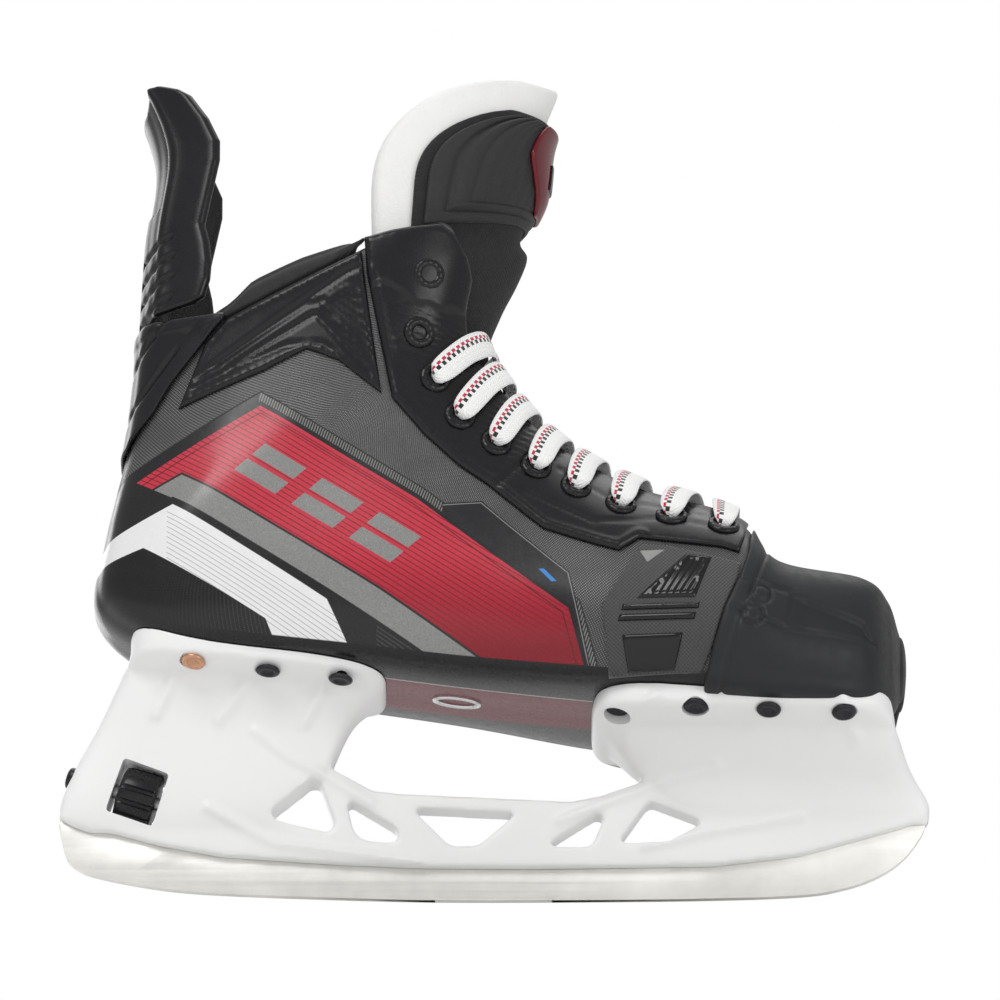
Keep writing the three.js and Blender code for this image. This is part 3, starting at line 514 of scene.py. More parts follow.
def lace_cloth():
    """The flat woven lace: herringbone rows, with red and black tracer threads along one edge."""
    s = Shader("lace_cloth")
    u, v, _ = s.split(s.flat())
    slant = s.plus(v, s.math("ABSOLUTE", u))
    rows = s.half(s.times(slant, 2 * math.pi / 0.0011))
    ribs = s.half(s.times(u, 2 * math.pi / 0.0009))
    fuzz = s.noise(1400, 6, 0.7)
    white = s.mix(fuzz, (0.84, 0.835, 0.83, 1), (0.98, 0.975, 0.97, 1))
    checks = s.under(s.math("FRACT", s.math("DIVIDE", v, 0.0026)), 0.62)
    red_row = s.times(s.over(u, 0.0014), s.under(u, 0.0025))
    black_row = s.times(s.over(u, 0.0004), s.under(u, 0.0014))
    late = s.under(s.math("FRACT", s.math("DIVIDE", s.plus(v, 0.0013), 0.0026)), 0.55)
    with_red = s.mix(s.times(red_row, checks), white, (0.55, 0.02, 0.06, 1))
    s.colour(s.mix(s.times(black_row, late), with_red, (0.02, 0.02, 0.025, 1)))
    s.rough(0.92)
    s.bump(s.plus(s.plus(rows, s.times(ribs, 0.5)), fuzz), 0.0003, 0.6)
    s.set(Sheen_Weight=0.35, Sheen_Roughness=0.5)
    return s.material


def shell_print():
    """The quarter: grey mesh above a printed panel in red, silver and white, with a glossy black heel."""
    s = Shader("shell_print")
    x, y, z = (s.times(part, 1000) for part in s.split(s.place()))

    def below(points):
        """Signed distance, in millimetres, under a peaked line of points; also one for each stretch."""
        each = []
        for (x0, z0), (x1, z1) in zip(points, points[1:]):
            long = math.hypot(x1 - x0, z1 - z0)
            cx, cz = (z1 - z0) / long, -(x1 - x0) / long
            each.append(s.plus(s.times(z, cz), s.plus(s.times(x, cx), -cx * x0 - cz * z0)))
        least = each[0]
        for value in each[1:]:
            least = s.math("MINIMUM", least, value)
        return least, each

    def inside(value, margin=0.0):
        return s.ramp(value, margin - 0.08, margin + 0.08)

    def band(value, low, high):
        return s.times(inside(value, low), s.minus(1.0, inside(value, high)))

    weave = s.weave(s.flat(), 0.0011)
    weave_dots = s.over(weave, 0.72)
    # Painted sheen: cloudy patches of lighter grey thread stand in for the soft sheen of light across the mesh.
    painted_sheen_clouds = s.ramp(s.noise(22, 3), 0.35, 0.7)
    thread = s.mix(painted_sheen_clouds, (0.13, 0.13, 0.135, 1), (0.34, 0.335, 0.32, 1))
    colour = s.mix(weave_dots, (0.035, 0.035, 0.037, 1), thread)

    speckle = s.ramp(s.noise(3500, 2), 0.45, 0.6)
    silver = s.mix(speckle, (0.2, 0.2, 0.195, 1), (0.29, 0.29, 0.28, 1))
    # Painted shade: the red panel's colour darkens towards the bottom, where the side turns under.
    red_shaded_low = s.mix(s.ramp(z, 78, 112), (0.22, 0.003, 0.011, 1), (0.52, 0.03, 0.055, 1))

    # A black border and a hatched strip above the red panel.
    red, red_parts = below(RED_EDGE)
    hatch = s.lines(s.minus(x, s.times(z, 0.35)), 1.0, 0.45)
    hatch_colour = s.mix(hatch, (0.02, 0.02, 0.02, 1), (0.2, 0.2, 0.19, 1))
    colour = s.mix(inside(red, -4.2), colour, (0.012, 0.012, 0.014, 1))
    colour = s.mix(s.times(band(red, -3.7, -1.0), s.over(x, -80.5)), colour, hatch_colour)

    # The blank label patch with its thin rim and one blue stroke.
    label, _ = below(LABEL_EDGE)
    label_mask = s.times(inside(label), s.over(x, -17.5), s.minus(1.0, inside(red, -1.0)))
    colour = s.mix(label_mask, colour, (0.014, 0.014, 0.016, 1))
    colour = s.mix(s.times(band(label, 0.5, 0.8), label_mask), colour, (0.25, 0.25, 0.25, 1))
    dash_x = s.minus(x, s.times(s.minus(105.0, z), 0.9))
    dash = s.times(s.under(s.off(dash_x, 17.6), 0.9), s.under(s.off(z, 104.0), 2.4))
    colour = s.mix(dash, colour, (0.03, 0.22, 0.6, 1))

    # The red panel: fine stripes, a dark line inside its edge and three pairs of silver blocks.
    slope = red_parts[1]
    deep = s.mix(s.lines(slope, 1.75, 0.2), red_shaded_low, (0.2, 0.008, 0.018, 1))
    deep = s.mix(band(red, 2.6, 2.95), deep, (0.1, 0.005, 0.01, 1))
    lean = s.plus(s.plus(s.times(x, 0.835), s.times(z, -0.55)), s.times(slope, 0.28))
    blocks = s.lines(s.plus(lean, 170.0), 23.5, 0.72)
    rows = s.times(band(slope, 11.5, 25), s.minus(1.0, band(slope, 17.2, 19.2)))
    blocks = s.times(rows, blocks, s.over(lean, -147.0), s.under(lean, -79.5))
    colour = s.mix(inside(red, 0.5), colour, s.mix(blocks, deep, silver))

    # The silver band under the red, and the pinstriped black under that.
    inner, inner_parts = below(RED_LOW_EDGE)
    colour = s.mix(inside(inner, -0.8), colour, (0.02, 0.02, 0.022, 1))
    colour = s.mix(inside(inner), colour, silver)
    lower, _ = below(SILVER_LOW_EDGE)
    fine = s.times(s.lines(inner_parts[1], 1.2, 0.3), s.over(x, -40.0))
    colour = s.mix(inside(lower), colour, s.mix(fine, (0.012, 0.012, 0.013, 1), (0.05, 0.05, 0.05, 1)))

    # The white band with its pinstripes, and the dotted black heel.
    line, _ = below(LINE_EDGE)
    colour = s.mix(band(line, -0.4, 1.0), colour, (0.012, 0.012, 0.014, 1))
    white, white_parts = below(WHITE_EDGE)
    pins = s.times(s.lines(white_parts[1], 1.55, 0.16), band(white_parts[1], 3.0, 18.0), s.over(x, -112.0))
    colour = s.mix(inside(white), colour, s.mix(pins, (0.8, 0.8, 0.8, 1), (0.4, 0.4, 0.4, 1)))
    heel, _ = below(HEEL_EDGE)
    dots = s.times(s.over(s.weave(s.flat(), 0.0016), 0.86), s.ramp(x, -118, -85))
    colour = s.mix(inside(heel), colour, s.mix(dots, (0.008, 0.008, 0.009, 1), (0.07, 0.07, 0.07, 1)))

    # The sole: black outside, then a white line, a red middle and dark grey inside.
    above_sole = s.plus(z, s.times(s.plus(x, 10.0), 0.125))
    sole = s.mix(s.ramp(y, -15.1, -14.9), (0.006, 0.006, 0.007, 1), (0.13, 0.002, 0.008, 1))
    sole = s.mix(s.ramp(s.off(y, -15.0), 0.4, 0.5, 1, 0), sole, (0.35, 0.35, 0.35, 1))
    sole = s.mix(s.ramp(y, 14.9, 15.1), sole, (0.02, 0.02, 0.02, 1))
    # Partly painted shade: the near-black below the print and on the sole's outer part is the sole's black edge
    # together with the shade on the lower side.
    colour = s.mix(s.ramp(above_sole, 77.3, 77.6, 1, 0), colour, (0.008, 0.008, 0.009, 1))
    colour = s.mix(s.ramp(above_sole, 75.2, 75.5, 1, 0), colour, sole)
    forward = s.times(s.over(x, 34.0), s.ramp(z, 68, 70, 1, 0))
    s.colour(s.mix(forward, colour, (0.01, 0.01, 0.01, 1)))

    printed = s.math("MAXIMUM", inside(red, -3.7), label_mask)
    scuffs = s.noise(240, 6, 0.7)
    s.rough(s.plus(s.ramp(printed, 0, 1, 0.42, 0.24), s.ramp(scuffs, 0.3, 0.75, -0.04, 0.1)))
    relief = s.times(weave, s.minus(1.0, printed))
    s.bump(s.plus(relief, s.times(s.noise(70, 3), 0.5)), 0.00025, 0.35)
    s.set(Coat_Weight=0.15, Coat_Roughness=0.15, Specular_IOR_Level=0.35)
    return s.material


# Edges of the printed panels as peaked lines of (x, z) in millimetres, each from the heel forwards.
RED_EDGE = [(-121, 145), (-80, 168), (-26, 133), (26, 92), (29.5, 79)]
RED_LOW_EDGE = [(-126, 135), (-107, 144), (-39, 100), (-9, 79)]
LINE_EDGE = [(-129, 126), (-110, 135.5), (-54, 98.5)]
SILVER_LOW_EDGE = [(-60, 103), (-57, 101), (-20, 77)]
WHITE_EDGE = [(-133, 123), (-110, 133), (-57, 97), (-49, 80)]
HEEL_EDGE = [(-135, 114), (-120, 118), (-78, 91), (-75, 84)]
LABEL_EDGE = [(-16, 131), (-4, 132), (26, 105), (32, 77)]


# ------------------------------------------------------------------ surfaces of the boot
def skin(s, k, grow=0.0):
    """The form, with a rounded nose for stations from -1 (the very tip) to 0."""
    s, k, grow = (np.asarray(v, float) for v in np.broadcast_arrays(s, k, grow))
    base = form(np.maximum(s, 0), k, grow)
    turn = np.clip(-s, 0, 1) * math.pi / 2
    centre = np.stack([np.full(s.shape, 139.2) + grow, np.full(s.shape, 5.0), np.full(s.shape, 86.0)], axis=-1)
    nose = centre + (base - centre) * np.cos(turn)[..., None]
    nose[..., 0] = base[..., 0] + 2.2 * np.sin(turn)
    return np.where((s < 0)[..., None], nose, base)


def inside_outline(points, outline):
    """Which of the (x, z) points lie inside an outline."""
    x, z = points[..., 0], points[..., 1]
    found = np.zeros(x.shape, bool)
    for (x0, z0), (x1, z1) in zip(outline, np.roll(outline, -1, axis=0)):
        crosses = (z0 > z) != (z1 > z)
        with np.errstate(divide="ignore", invalid="ignore"):
            at = x0 + (z - z0) * (x1 - x0) / (z1 - z0)
        found ^= crosses & (x < at)
    return found


# The throat's edge from the toe up, then the collar's edge from the throat to the heel, as (x, z).
FACING = [
    (90, 131), (71.5, 139), (52, 144.5), (35.6, 152), (18, 163), (10, 172), (1.6, 186), (-5, 208), (-9, 223),
    (-14, 232),
]
COLLAR_LINE = [(-19, 234), (-35, 230.5), (-69, 220), (-84, 213.5), (-92, 206), (-99, 202)]
OPENING = np.array([*FACING, *COLLAR_LINE, (-145, 202), (-145, 340), (60, 340), (96, 150)], float)


def last_station(k, grow=0.0, drop=0.0, first=6.0):
    """The station at which place k comes up to the collar's edge, lowered by drop."""
    marks = np.arange(first, 13.2, 0.01)
    points = form(marks[:, None], np.atleast_1d(k)[None, :], grow)[..., [0, 2]]
    cut = inside_outline(points + [0, drop], OPENING)
    return np.where(cut.any(axis=0), marks[np.argmax(cut, axis=0)], 13.2)


FINE_S, FINE_K = np.linspace(0, 15, 361), np.linspace(0, 12, 241)
FINE = form(FINE_S[:, None], FINE_K[None, :])
SURFACE = BVHTree.FromPolygons(FINE.reshape(-1, 3).tolist(), grid_faces(len(FINE_S), len(FINE_K)).tolist())


def on_side(points, side):
    """Stations and places of the surface seen at (x, z) points from one side."""
    found = np.zeros((len(points), 2))
    columns = len(FINE_K) - 1
    for i, (x, z) in enumerate(points):
        hit, _, face, _ = SURFACE.ray_cast(Vector((x, side * 200, z)), Vector((0, -side, 0)))
        if hit is None:
            hit, _, face, _ = SURFACE.find_nearest(Vector((x, side * 20, z)))
        row, column = divmod(face, columns)
        corner = FINE[row, column]
        u, v = FINE[row + 1, column] - corner, FINE[row, column + 1] - corner
        away = np.asarray(hit) - corner
        solved, *_ = np.linalg.lstsq(np.stack([u, v], axis=1), away, rcond=None)
        found[i] = FINE_S[row] + solved[0] * (FINE_S[1]), FINE_K[column] + solved[1] * FINE_K[1]
    return found[:, 0], found[:, 1]


def resample(outline, pitch):
    """Points along a closed outline, its corners kept, no further apart than pitch."""
    points = np.asarray(outline, float)
    points = np.concatenate([points, points[:1]])
    length = np.concatenate([[0], np.cumsum(np.linalg.norm(np.diff(points, axis=0), axis=-1))])
    keep = [0.0]
    for a, b in zip(length, length[1:]):
        keep += np.linspace(a, b, max(2, int((b - a) / pitch) + 2))[1:].tolist()
    keep = keep[:-1]
    return np.stack([np.interp(keep, length, points[:, 0]), np.interp(keep, length, points[:, 1])], axis=-1)


def border_distance(points, outline):
    """Distance from each point to the nearest stretch of a closed outline."""
    least = np.full(len(points), 1e9)
    for a, b in zip(outline, np.roll(outline, -1, axis=0)):
        d = b - a
        t = np.clip(((points - a) @ d) / max(d @ d, 1e-12), 0, 1)
        least = np.minimum(least, np.linalg.norm(points - a - t[:, None] * d, axis=1))
    return least


def patch(name, outline, side, high, low, material, cell=1.6, round_off=1.0, relief=None, **options):
    """A closed panel lying on the boot over an (x, z) outline, low to high millimetres off its form.
    Its edge is rounded over; relief(x, z, inwards) adds height."""
    border = resample(outline, cell)
    x0, z0 = border.min(axis=0)
    x1, z1 = border.max(axis=0)
    inner = []
    for depth in (0.25 * round_off, 0.6 * round_off, round_off):
        step = np.roll(border, -1, axis=0) - np.roll(border, 1, axis=0)
        normal = unit(np.stack([-step[:, 1], step[:, 0]], axis=-1))
        moved = border + normal * depth
        if not inside_outline(moved[:1], border)[0]:
            moved = border - normal * depth
        near = border_distance(moved, border)
        inner.append(moved[inside_outline(moved, border) & (near > depth * 0.8)])
    gx, gz = np.meshgrid(np.arange(x0, x1, cell), np.arange(z0, z1, cell), indexing="ij")
    gx = gx + (np.arange(gx.shape[1]) % 2)[None, :] * cell / 2
    grid = np.stack([gx.ravel(), gz.ravel()], axis=-1)
    grid = grid[inside_outline(grid, border)]
    grid = grid[border_distance(grid, border) > round_off + cell * 0.45]
    flat = np.concatenate([border, *inner, grid])
    n = len(border)
    loop = [(i, (i + 1) % n) for i in range(n)]
    verts, _, faces, *_ = delaunay_2d_cdt([Vector(p) for p in flat.tolist()], loop, [], 1, 1e-5)
    flat = np.array([tuple(v) for v in verts])
    away = border_distance(flat, border)
    away[away < 1e-4] = 0
    rise = np.sqrt(np.clip(1 - (1 - np.minimum(away / round_off, 1)) ** 2, 0, 1))
    lift = low + (high - low) * (0.45 + 0.55 * rise)
    if relief:
        lift = lift + relief(flat[:, 0], flat[:, 1], away) * np.clip((away - 0.5) / 0.8, 0, 1)
    s, k = on_side(flat, side)
    base, out = form(s, k), outward(s, k)
    top, bottom = base + out * lift[:, None], base + out * low
    count = len(flat)
    faces = [list(f) for f in faces]
    edges = {(a, b): None for f in faces for a, b in zip(f, f[1:] + f[:1])}
    closing = [[b, a, a + count, b + count] for a, b in edges if (b, a) not in edges]
    under = [[i + count for i in reversed(f)] for f in faces]
    return mesh_from(name, np.concatenate([top, bottom]), faces + under + closing, material,
                     uv=np.concatenate([flat, flat]), **options)


# ------------------------------------------------------------------ the boot's pieces
def solve(low, high, above, steps=26):
    """The value between low and high (arrays) where above() turns true."""
    low, high = np.array(low, float), np.array(high, float)
    for _ in range(steps):
        middle = (low + high) / 2
        over = above(middle)
        high = np.where(over, middle, high)
        low = np.where(over, low, middle)
    return (low + high) / 2


def rows_between(first, last, count):
    return first[None, :] + (last - first)[None, :] * np.linspace(0, 1, count)[:, None]


def above_line(s, k, line):
    """How far the form's points lie above a line of (x, z) points that runs forwards."""
    at = form(s, k)
    return at[..., 2] - np.interp(at[..., 0], line[:, 0], line[:, 1])


# Where the shell ends and the collar's cloth begins.
STITCH_LINE = np.array([(-145, 197), (-100, 197), (-92, 199.5), (-36, 226.5), (-19, 233), (40, 240)], float)


def make_shell(material):
    k = np.concatenate([np.linspace(5, 4.4, 13), np.linspace(4.3, 0.7, 55), np.linspace(0.6, -0.6, 13)])
    k = np.concatenate([k, -k[::-1][13:]])
    at_stitches = solve(0 * k + 8.0, 0 * k + 13.0, lambda s: above_line(s, k, STITCH_LINE) > 0)
    top = np.minimum(last_station(k), at_stitches)
    nose = np.linspace(-1, 0, 7)[:-1, None] + 0 * k[None, :]
    s = np.concatenate([nose, rows_between(0 * k, top, 150)])
    outer, inner = skin(s, k[None, :], -0.1), skin(s, k[None, :], -3.0)
    piece = slab("boot_shell", outer, inner, material, slot="shell")
    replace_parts(piece, "boot_shell")


RING_MARKS = [(91.5, 95.5), (88.7, 87.3)]
TOE_WEDGE = [(101, 97), (127, 88), (130, 81), (99, 83)]


def make_toe_cap(material):
    k = np.concatenate([np.linspace(0.72, 1.6, 12), np.linspace(1.7, 10.3, 190), np.linspace(10.4, 11.28, 12)])
    rear = np.array([(40, 72), (58, 72), (76, 76), (90, 80), (102, 85), (112, 88), (128, 90), (160, 90)], float)
    top = solve(np.full(k.shape, 1.5), np.full(k.shape, 5.0), lambda s: (
        form(s, k, 2.4)[..., 0] < np.interp(form(s, k, 2.4)[..., 2], rear[:, 0], rear[:, 1])))
    nose = np.linspace(-1, 0, 8)[:-1, None] + 0 * k[None, :]
    s = np.concatenate([nose, rows_between(0 * k, top, 130)])
    base = skin(s, k[None, :], 2.2)
    x, z = base[..., 0], base[..., 2]
    edge = x - np.interp(z, rear[:, 0], rear[:, 1])
    lift = 2.3 - 0.9 * np.exp(-((edge - 5.0) / 0.7) ** 2)
    for x0, z0 in RING_MARKS:
        lift -= 1.2 * ridge(np.hypot(x - x0, (z - z0)) - 3.4, 0.7)
    within = inside_outline(np.stack([x, z], -1), np.array(TOE_WEDGE, float))
    border = line_distance(x, z, TOE_WEDGE + TOE_WEDGE[:1])
    lift -= np.where(within, 1.5 * np.clip(border / 1.2, 0, 1) * np.clip((x - 99) / 8, 0.5, 1), 0)
    lift -= 0.9 * ridge(line_distance(x, z, [(82, 90), (99, 82.6), (130, 80.6)]), 0.8)
    lift -= 0.6 * ridge(line_distance(x, z, [(84, 101), (101, 97.4)]), 0.8)
    outer, inner = skin(s, k[None, :], lift), skin(s, k[None, :], 0.15)
    piece = slab("toe_cap", outer, inner, material, roll=3, slot="toe_cap")
    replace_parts(piece, "toe_cap")


EYESTAY_LOW = [
    (-43.6, 214), (-35, 170), (-24, 156.5), (-12, 145), (-2, 138), (17, 121.5), (36, 115), (43, 113), (50, 118),
    (78, 114), (84, 112), (85.5, 118), (86.9, 129),
]
CAP_LOW = [(-44, 208), (-38, 211), (-33, 208.5), (-27, 204), (-21, 203.5), (-10, 203.5), (-5.5, 204.5)]


def ridge(distance, width):
    return np.exp(-(distance / width) ** 2)


def line_distance(x, z, points):
    least = np.full(x.shape, 1e9)
    points = np.asarray(points, float)
    place_ = np.stack([x, z], axis=-1)
    for a, b in zip(points, points[1:]):
        d = b - a
        t = np.clip(((place_ - a) @ d) / (d @ d), 0, 1)
        least = np.minimum(least, np.linalg.norm(place_ - a - t[..., None] * d, axis=-1))
    return least


def eyestay_relief(x, z, away):
    low = line_distance(x, z, EYESTAY_LOW[:9])
    groove = -0.7 * ridge(line_distance(x, z, [(20, 158), (4, 141), (-2, 134)]), 0.8)
    step = 0.55 * np.clip((3.6 - low) / 0.8, 0, 1)
    cap = np.clip((z - np.interp(x, *zip(*CAP_LOW))) / 0.8, 0, 1) * 0.8
    ribs = (z < 205) & (x < 12 + (z - 141) * 0.9) & (low > 5)
    spread = np.sin((z * 0.94 + x * 0.34) * 2 * math.pi / 2.6)
    ribbed = np.where(ribs & (away > 2), 0.28 * spread, 0)
    swirl = -0.5 * ridge(line_distance(x, z, [(10, 136), (34, 124), (60, 126), (80, 121)]), 0.7)
    swirl -= 0.5 * ridge(line_distance(x, z, [(22, 146), (40, 134), (62, 131), (84, 124)]), 0.7)
    return step + groove + cap + ribbed + swirl


def ankle_relief(x, z, away):
    h = 0.45 * np.clip((2.6 - away) / 0.7, 0, 1)
    grooves = (
        [(-91, 182), (-61, 200), (-40, 175.6)], [(-106, 174.5), (-71, 189), (-59, 189), (-36, 170)],
        [(-103, 179), (-50.5, 214.5), (-45, 217)], [(-96, 183), (-64, 203.5), (-58, 204.5)],
    )
    for line in grooves:
        h = h - 0.8 * ridge(line_distance(x, z, line), 0.7)
    ribbed = np.array([(-59, 204), (-50, 209), (-47, 207), (-42, 183), (-44, 182)], float)
    rim = [(-59, 204), (-50, 209.5), (-46.5, 207), (-41.5, 183), (-59, 204)]
    ribs = np.sin((x * 0.62 + z * 0.78) * 2 * math.pi / 2.3)
    h = h + np.where(inside_outline(np.stack([x, z], -1), ribbed), 0.35 * ribs, 0)
    return h + 0.5 * ridge(line_distance(x, z, rim), 0.6)


def make_side_panels(trim, gloss, mesh, silver):
    facing = [tuple(p) for p in form(np.linspace(3.92, 10.2, 60), 4.97)[..., [0, 2]]]
    eyestay = [*EYESTAY_LOW, *facing, (-9.3, 222.5), (-13.5, 230), (-19, 233.3), (-35, 229.8), (-44.4, 227)]
    ankle = [
        (-108, 169), (-79, 180), (-64, 187.5), (-53, 183), (-38.6, 171.5), (-44.2, 212), (-45.4, 222.3),
        (-70, 210.3), (-92, 200), (-99, 192),
    ]
    window = [
        (37, 92.5), (51, 115.5), (60, 114.8), (84.3, 107.6), (83.6, 102), (78.8, 90), (74.5, 76), (71, 68.5),
        (39.5, 68.5),
    ]
    lower = [(44, 81.6), (64.7, 81.6), (61.8, 69.6), (46, 69.6)]
    bars = [
        [(42.6, 86.3), (68.6, 86), (69.2, 88.3), (43.2, 88.6)],
        [(43.6, 90), (70, 89.7), (70.4, 91.8), (44.4, 92.1)],
    ]
    upper = [(66, 111), (74.8, 109.6), (69, 93.6), (48.8, 93.9)]
    # Painted highlight: the glint is a silver patch on the window's glossy black, standing in for a reflection.
    glint = [(49.8, 112.6), (59, 112.9), (52.6, 107.6)]

    def ribs(x, z, away):
        return np.where(away > 1.6, 0.25 * np.sin((x * 0.86 - z * 0.5) * 2 * math.pi / 2.0), 0.4)

    for name, side in SIDES:
        def replace(part, outline, high, low, material, **options):
            piece = patch(f"{part}_{name}", outline, side, high, low, material, **options)
            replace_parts(piece, f"{part}_{name}")

        def window_piece(part, outline, high, material, **options):
            patch(f"window_{part}", outline, side, high, 0.4, material, slot="gloss_black", **options)

        replace("eyestay", eyestay, 1.8, 0.1, trim, cell=1.15, relief=eyestay_relief, slot="trim")
        replace("ankle_panel", ankle, 1.5, 0.1, trim, cell=1.15, relief=ankle_relief, slot="trim")
        replace("side_window", window, 0.9, 0.05, mesh, cell=1.5, slot="gloss_black")
        window_piece(f"low_{name}", lower, 1.7, gloss, cell=1.5)
        for i, bar in enumerate(bars):
            window_piece(f"bar_{name}_{i + 1}", bar, 1.8, gloss, cell=1.2, round_off=1.1)
        window_piece(f"top_{name}", upper, 1.3, gloss, cell=0.8, relief=ribs)
        # Painted highlight: the glint patch takes the silver material.
        window_piece(f"glint_{name}", glint, 1.2, silver, cell=1.0)


def make_lining(material):
    k = np.linspace(-3.4, 3.4, 90)
    top = last_station(k, -3.3, 1.0)
    low = skin(rows_between(0.15 + 0 * k, top, 110), k[None, :], -3.25)
    high = skin(rows_between(0.15 + 0 * k, top, 110), k[None, :], -5.8)
    piece = slab("liner", high, low, material, slot="lining")
    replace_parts(piece, "liner")

    x = np.linspace(-119, 119, 110)
    line = [(-122, 99.5), (-105, 95.5), (-62, 89.5), (-10, 82.5), (36, 77), (78, 73.5), (106, 72), (122, 73)]
    z = np.interp(x, *zip(*line))
    rows = 270
    room = form(FINE_S[:rows, None], FINE_K[None, :], -6.9)
    tree = BVHTree.FromPolygons(room.reshape(-1, 3).tolist(), grid_faces(rows, len(FINE_K)).tolist())
    widths = []
    for a, b in zip(x, z):
        hits = [tree.ray_cast(Vector((a, 2, b + 1)), Vector((0, d, 0)))[0] for d in (-1, 1)]
        widths.append([h.y if h else d * 8 for h, d in zip(hits, (-1, 1))])
    widths = np.array(widths)
    f = np.linspace(0, 1, 36)
    y = widths[:, :1] + (widths[:, 1:] - widths[:, :1]) * f
    cup = 2.2 * np.abs(2 * f - 1) ** 6
    top_face = np.stack([np.repeat(x[:, None], 36, 1), y, z[:, None] + cup[None, :]], axis=-1)
    under = top_face - [0, 0, 2.6]
    piece = slab("footbed", top_face, under, material, slot="lining")
    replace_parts(piece, "footbed")


def make_collar(material):
    k = np.linspace(-3.62, 3.62, 121)
    top = last_station(k, -1.0, 0.4)
    low_line = np.array([(-145, 176), (-100, 176), (-60, 190), (-47, 224), (0, 240)], float)
    low = solve(np.full(k.shape, 8.5), top, lambda s: above_line(s, k, low_line) > 0)
    low = np.minimum(low, top - 0.12)
    s = rows_between(low, top, 46)
    t = np.linspace(0, 1, 46)[:, None]
    puff = np.sin(math.pi * np.clip(t, 0, 1) ** 0.8) ** 0.5
    puff = puff * np.sqrt(np.clip(1 - (k[None, :] / 3.64) ** 10, 0.02, 1))
    over = np.clip((above_line(s, k[None, :], STITCH_LINE) - 0.3) / 2.0, 0, 1)
    out = -6.3 + 5.6 * over * over * (3 - 2 * over)
    roll = np.clip((t - 0.9) / 0.1, 0, 1)
    out = out - 2.4 * roll**2
    inward = -6.9 - 5.6 * puff
    outer, inner = form(s, k[None, :], out), form(s, k[None, :], np.minimum(inward, out - 1.5))
    piece = slab("collar_pad", inner, outer, material, roll=6, slot="lining")
    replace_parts(piece, "collar_pad")


def make_guard(material):
    # The guard's front edge as (z, x), and its top's height over each share f of the way round.
    front = np.array([
        (190, -103), (209.5, -102), (216, -100), (223, -99.5), (230, -100.3), (237, -102), (249, -99.5),
        (261, -97), (268, -97), (277, -101), (286, -107), (292, -113), (293.5, -120),
    ], float)
    f = np.linspace(-1, 1, 91)

    def place_at(s):
        return solve(0 * s + 0.8, 0 * s + 3.6, lambda k: (
            form(s, k)[..., 0] > np.interp(form(s, k)[..., 2], front[:, 0], front[:, 1])))

    def height(s):
        return form(s, np.abs(f) * place_at(s))[..., 2]

    low = solve(0 * f + 11.5, 0 * f + 14, lambda s: height(s) > np.interp(
        form(s, np.abs(f) * place_at(s))[..., 0], [-145, -124, -100], [206.2, 206.2, 210]))
    crown = 283 + 8 * np.clip((np.abs(f) - 0.4) / 0.5, 0, 1) - 4 * np.abs(f) ** 8
    high = solve(0 * f + 13.5, 0 * f + 15, lambda s: height(s) > crown)
    s = rows_between(low, high, 100)
    k = f[None, :] * place_at(s)
    at = form(s, k)
    x, z = at[..., 0], at[..., 2]
    border = np.minimum(1 - np.abs(f)[None, :], 1.0)
    groove = np.zeros(x.shape)
    for z0 in (214, 221.5, 229, 236.5):
        groove += 1.3 * ridge(z - z0 - 0.5 * (x + 105), 1.0) * (border > 0.12) * (border < 0.75)
    spine = 1.1 * np.exp(-((f[None, :]) / 0.22) ** 2)
    rib = 0.9 * ridge((border - 0.22) * 30, 1.6)
    cloth_zone = 0.7 * ((z > 246) & (border > 0.3))
    lift = 1.1 - 0.75 * groove + 0.35 * spine + rib - cloth_zone
    outer, inner = form(s, k, lift), form(s, k, -2.4)
    piece = slab("tendon_guard", outer, inner, material, roll=4, body=None, slot="trim")
    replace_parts(piece, "tendon_guard")
    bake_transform(piece)

    k = np.linspace(-2.62, 2.62, 90)
    low_line = np.array([(-150, 152), (-145, 152), (-125, 160), (-116, 170), (-110, 180), (-93, 201)], float)
    low = solve(0 * k + 9.0, 0 * k + 12.6, lambda s: above_line(s, k, low_line) > 0)
    high = solve(0 * k + 11.0, 0 * k + 13.0, lambda s: form(s, k)[..., 2] > 201.4)
    s = rows_between(np.minimum(low, high - 0.05), high, 60)
    at = form(s, k[None, :])
    x, z = at[..., 0], at[..., 2]
    lift = 2.2 - 0.9 * ridge(line_distance(x, z, [(-136, 158), (-118, 178), (-101, 200)]), 0.9)
    lift -= 0.9 * ridge(line_distance(x, z, [(-140, 176), (-126, 184), (-112, 202)]), 0.9)
    lift += 0.5 * np.clip((z - 197.5) / 1.0, 0, 1)
    outer, inner = form(s, k[None, :], lift), form(s, k[None, :], 0.1)
    piece = slab("tendon_guard_base", outer, inner, material, roll=3, slot="trim")
    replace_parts(piece, "tendon_guard_base")


# ------------------------------------------------------------------ tongue
# From station 4 on: how far the tongue swells, and how many places wide it is each way from the top.
BULGE = [0, 0, 0, 0, 1, 7, 13, 15, 11, 7, 3, 11]
TONGUE_EDGE = [1.95, 2, 2.1, 2.1, 2.1, 2.1, 2.1, 2.1, 2.1, 2.25, 2.35, 2.2]


def tongue_point(s, v, grow):
    """Points of the tongue: v runs from -1 to 1 across it, and it swells over the foot's throat."""
    s, v, grow = (np.asarray(a, float) for a in np.broadcast_arrays(s, v, grow))
    edge = through(TONGUE_EDGE, s - 4)
    row = through(ROWS, s)
    up = unit(row[..., 2:4] - row[..., 0:2])
    swell = through(BULGE, s - 4) * np.cos(math.pi / 2 * np.minimum(1, np.abs(v * edge) / 1.2)) ** 2
    point = form(s, 6 + v * edge, grow)
    point[..., 0] += up[..., 0] * swell
    point[..., 2] += up[..., 1] * swell
    return point


def round_top(s, end):
    """The share of the tongue's width at station s, rounded off towards its end."""
    return np.sqrt(np.maximum(0.02, 1 - (np.maximum(0, s - 13) / (end - 13)) ** 3))


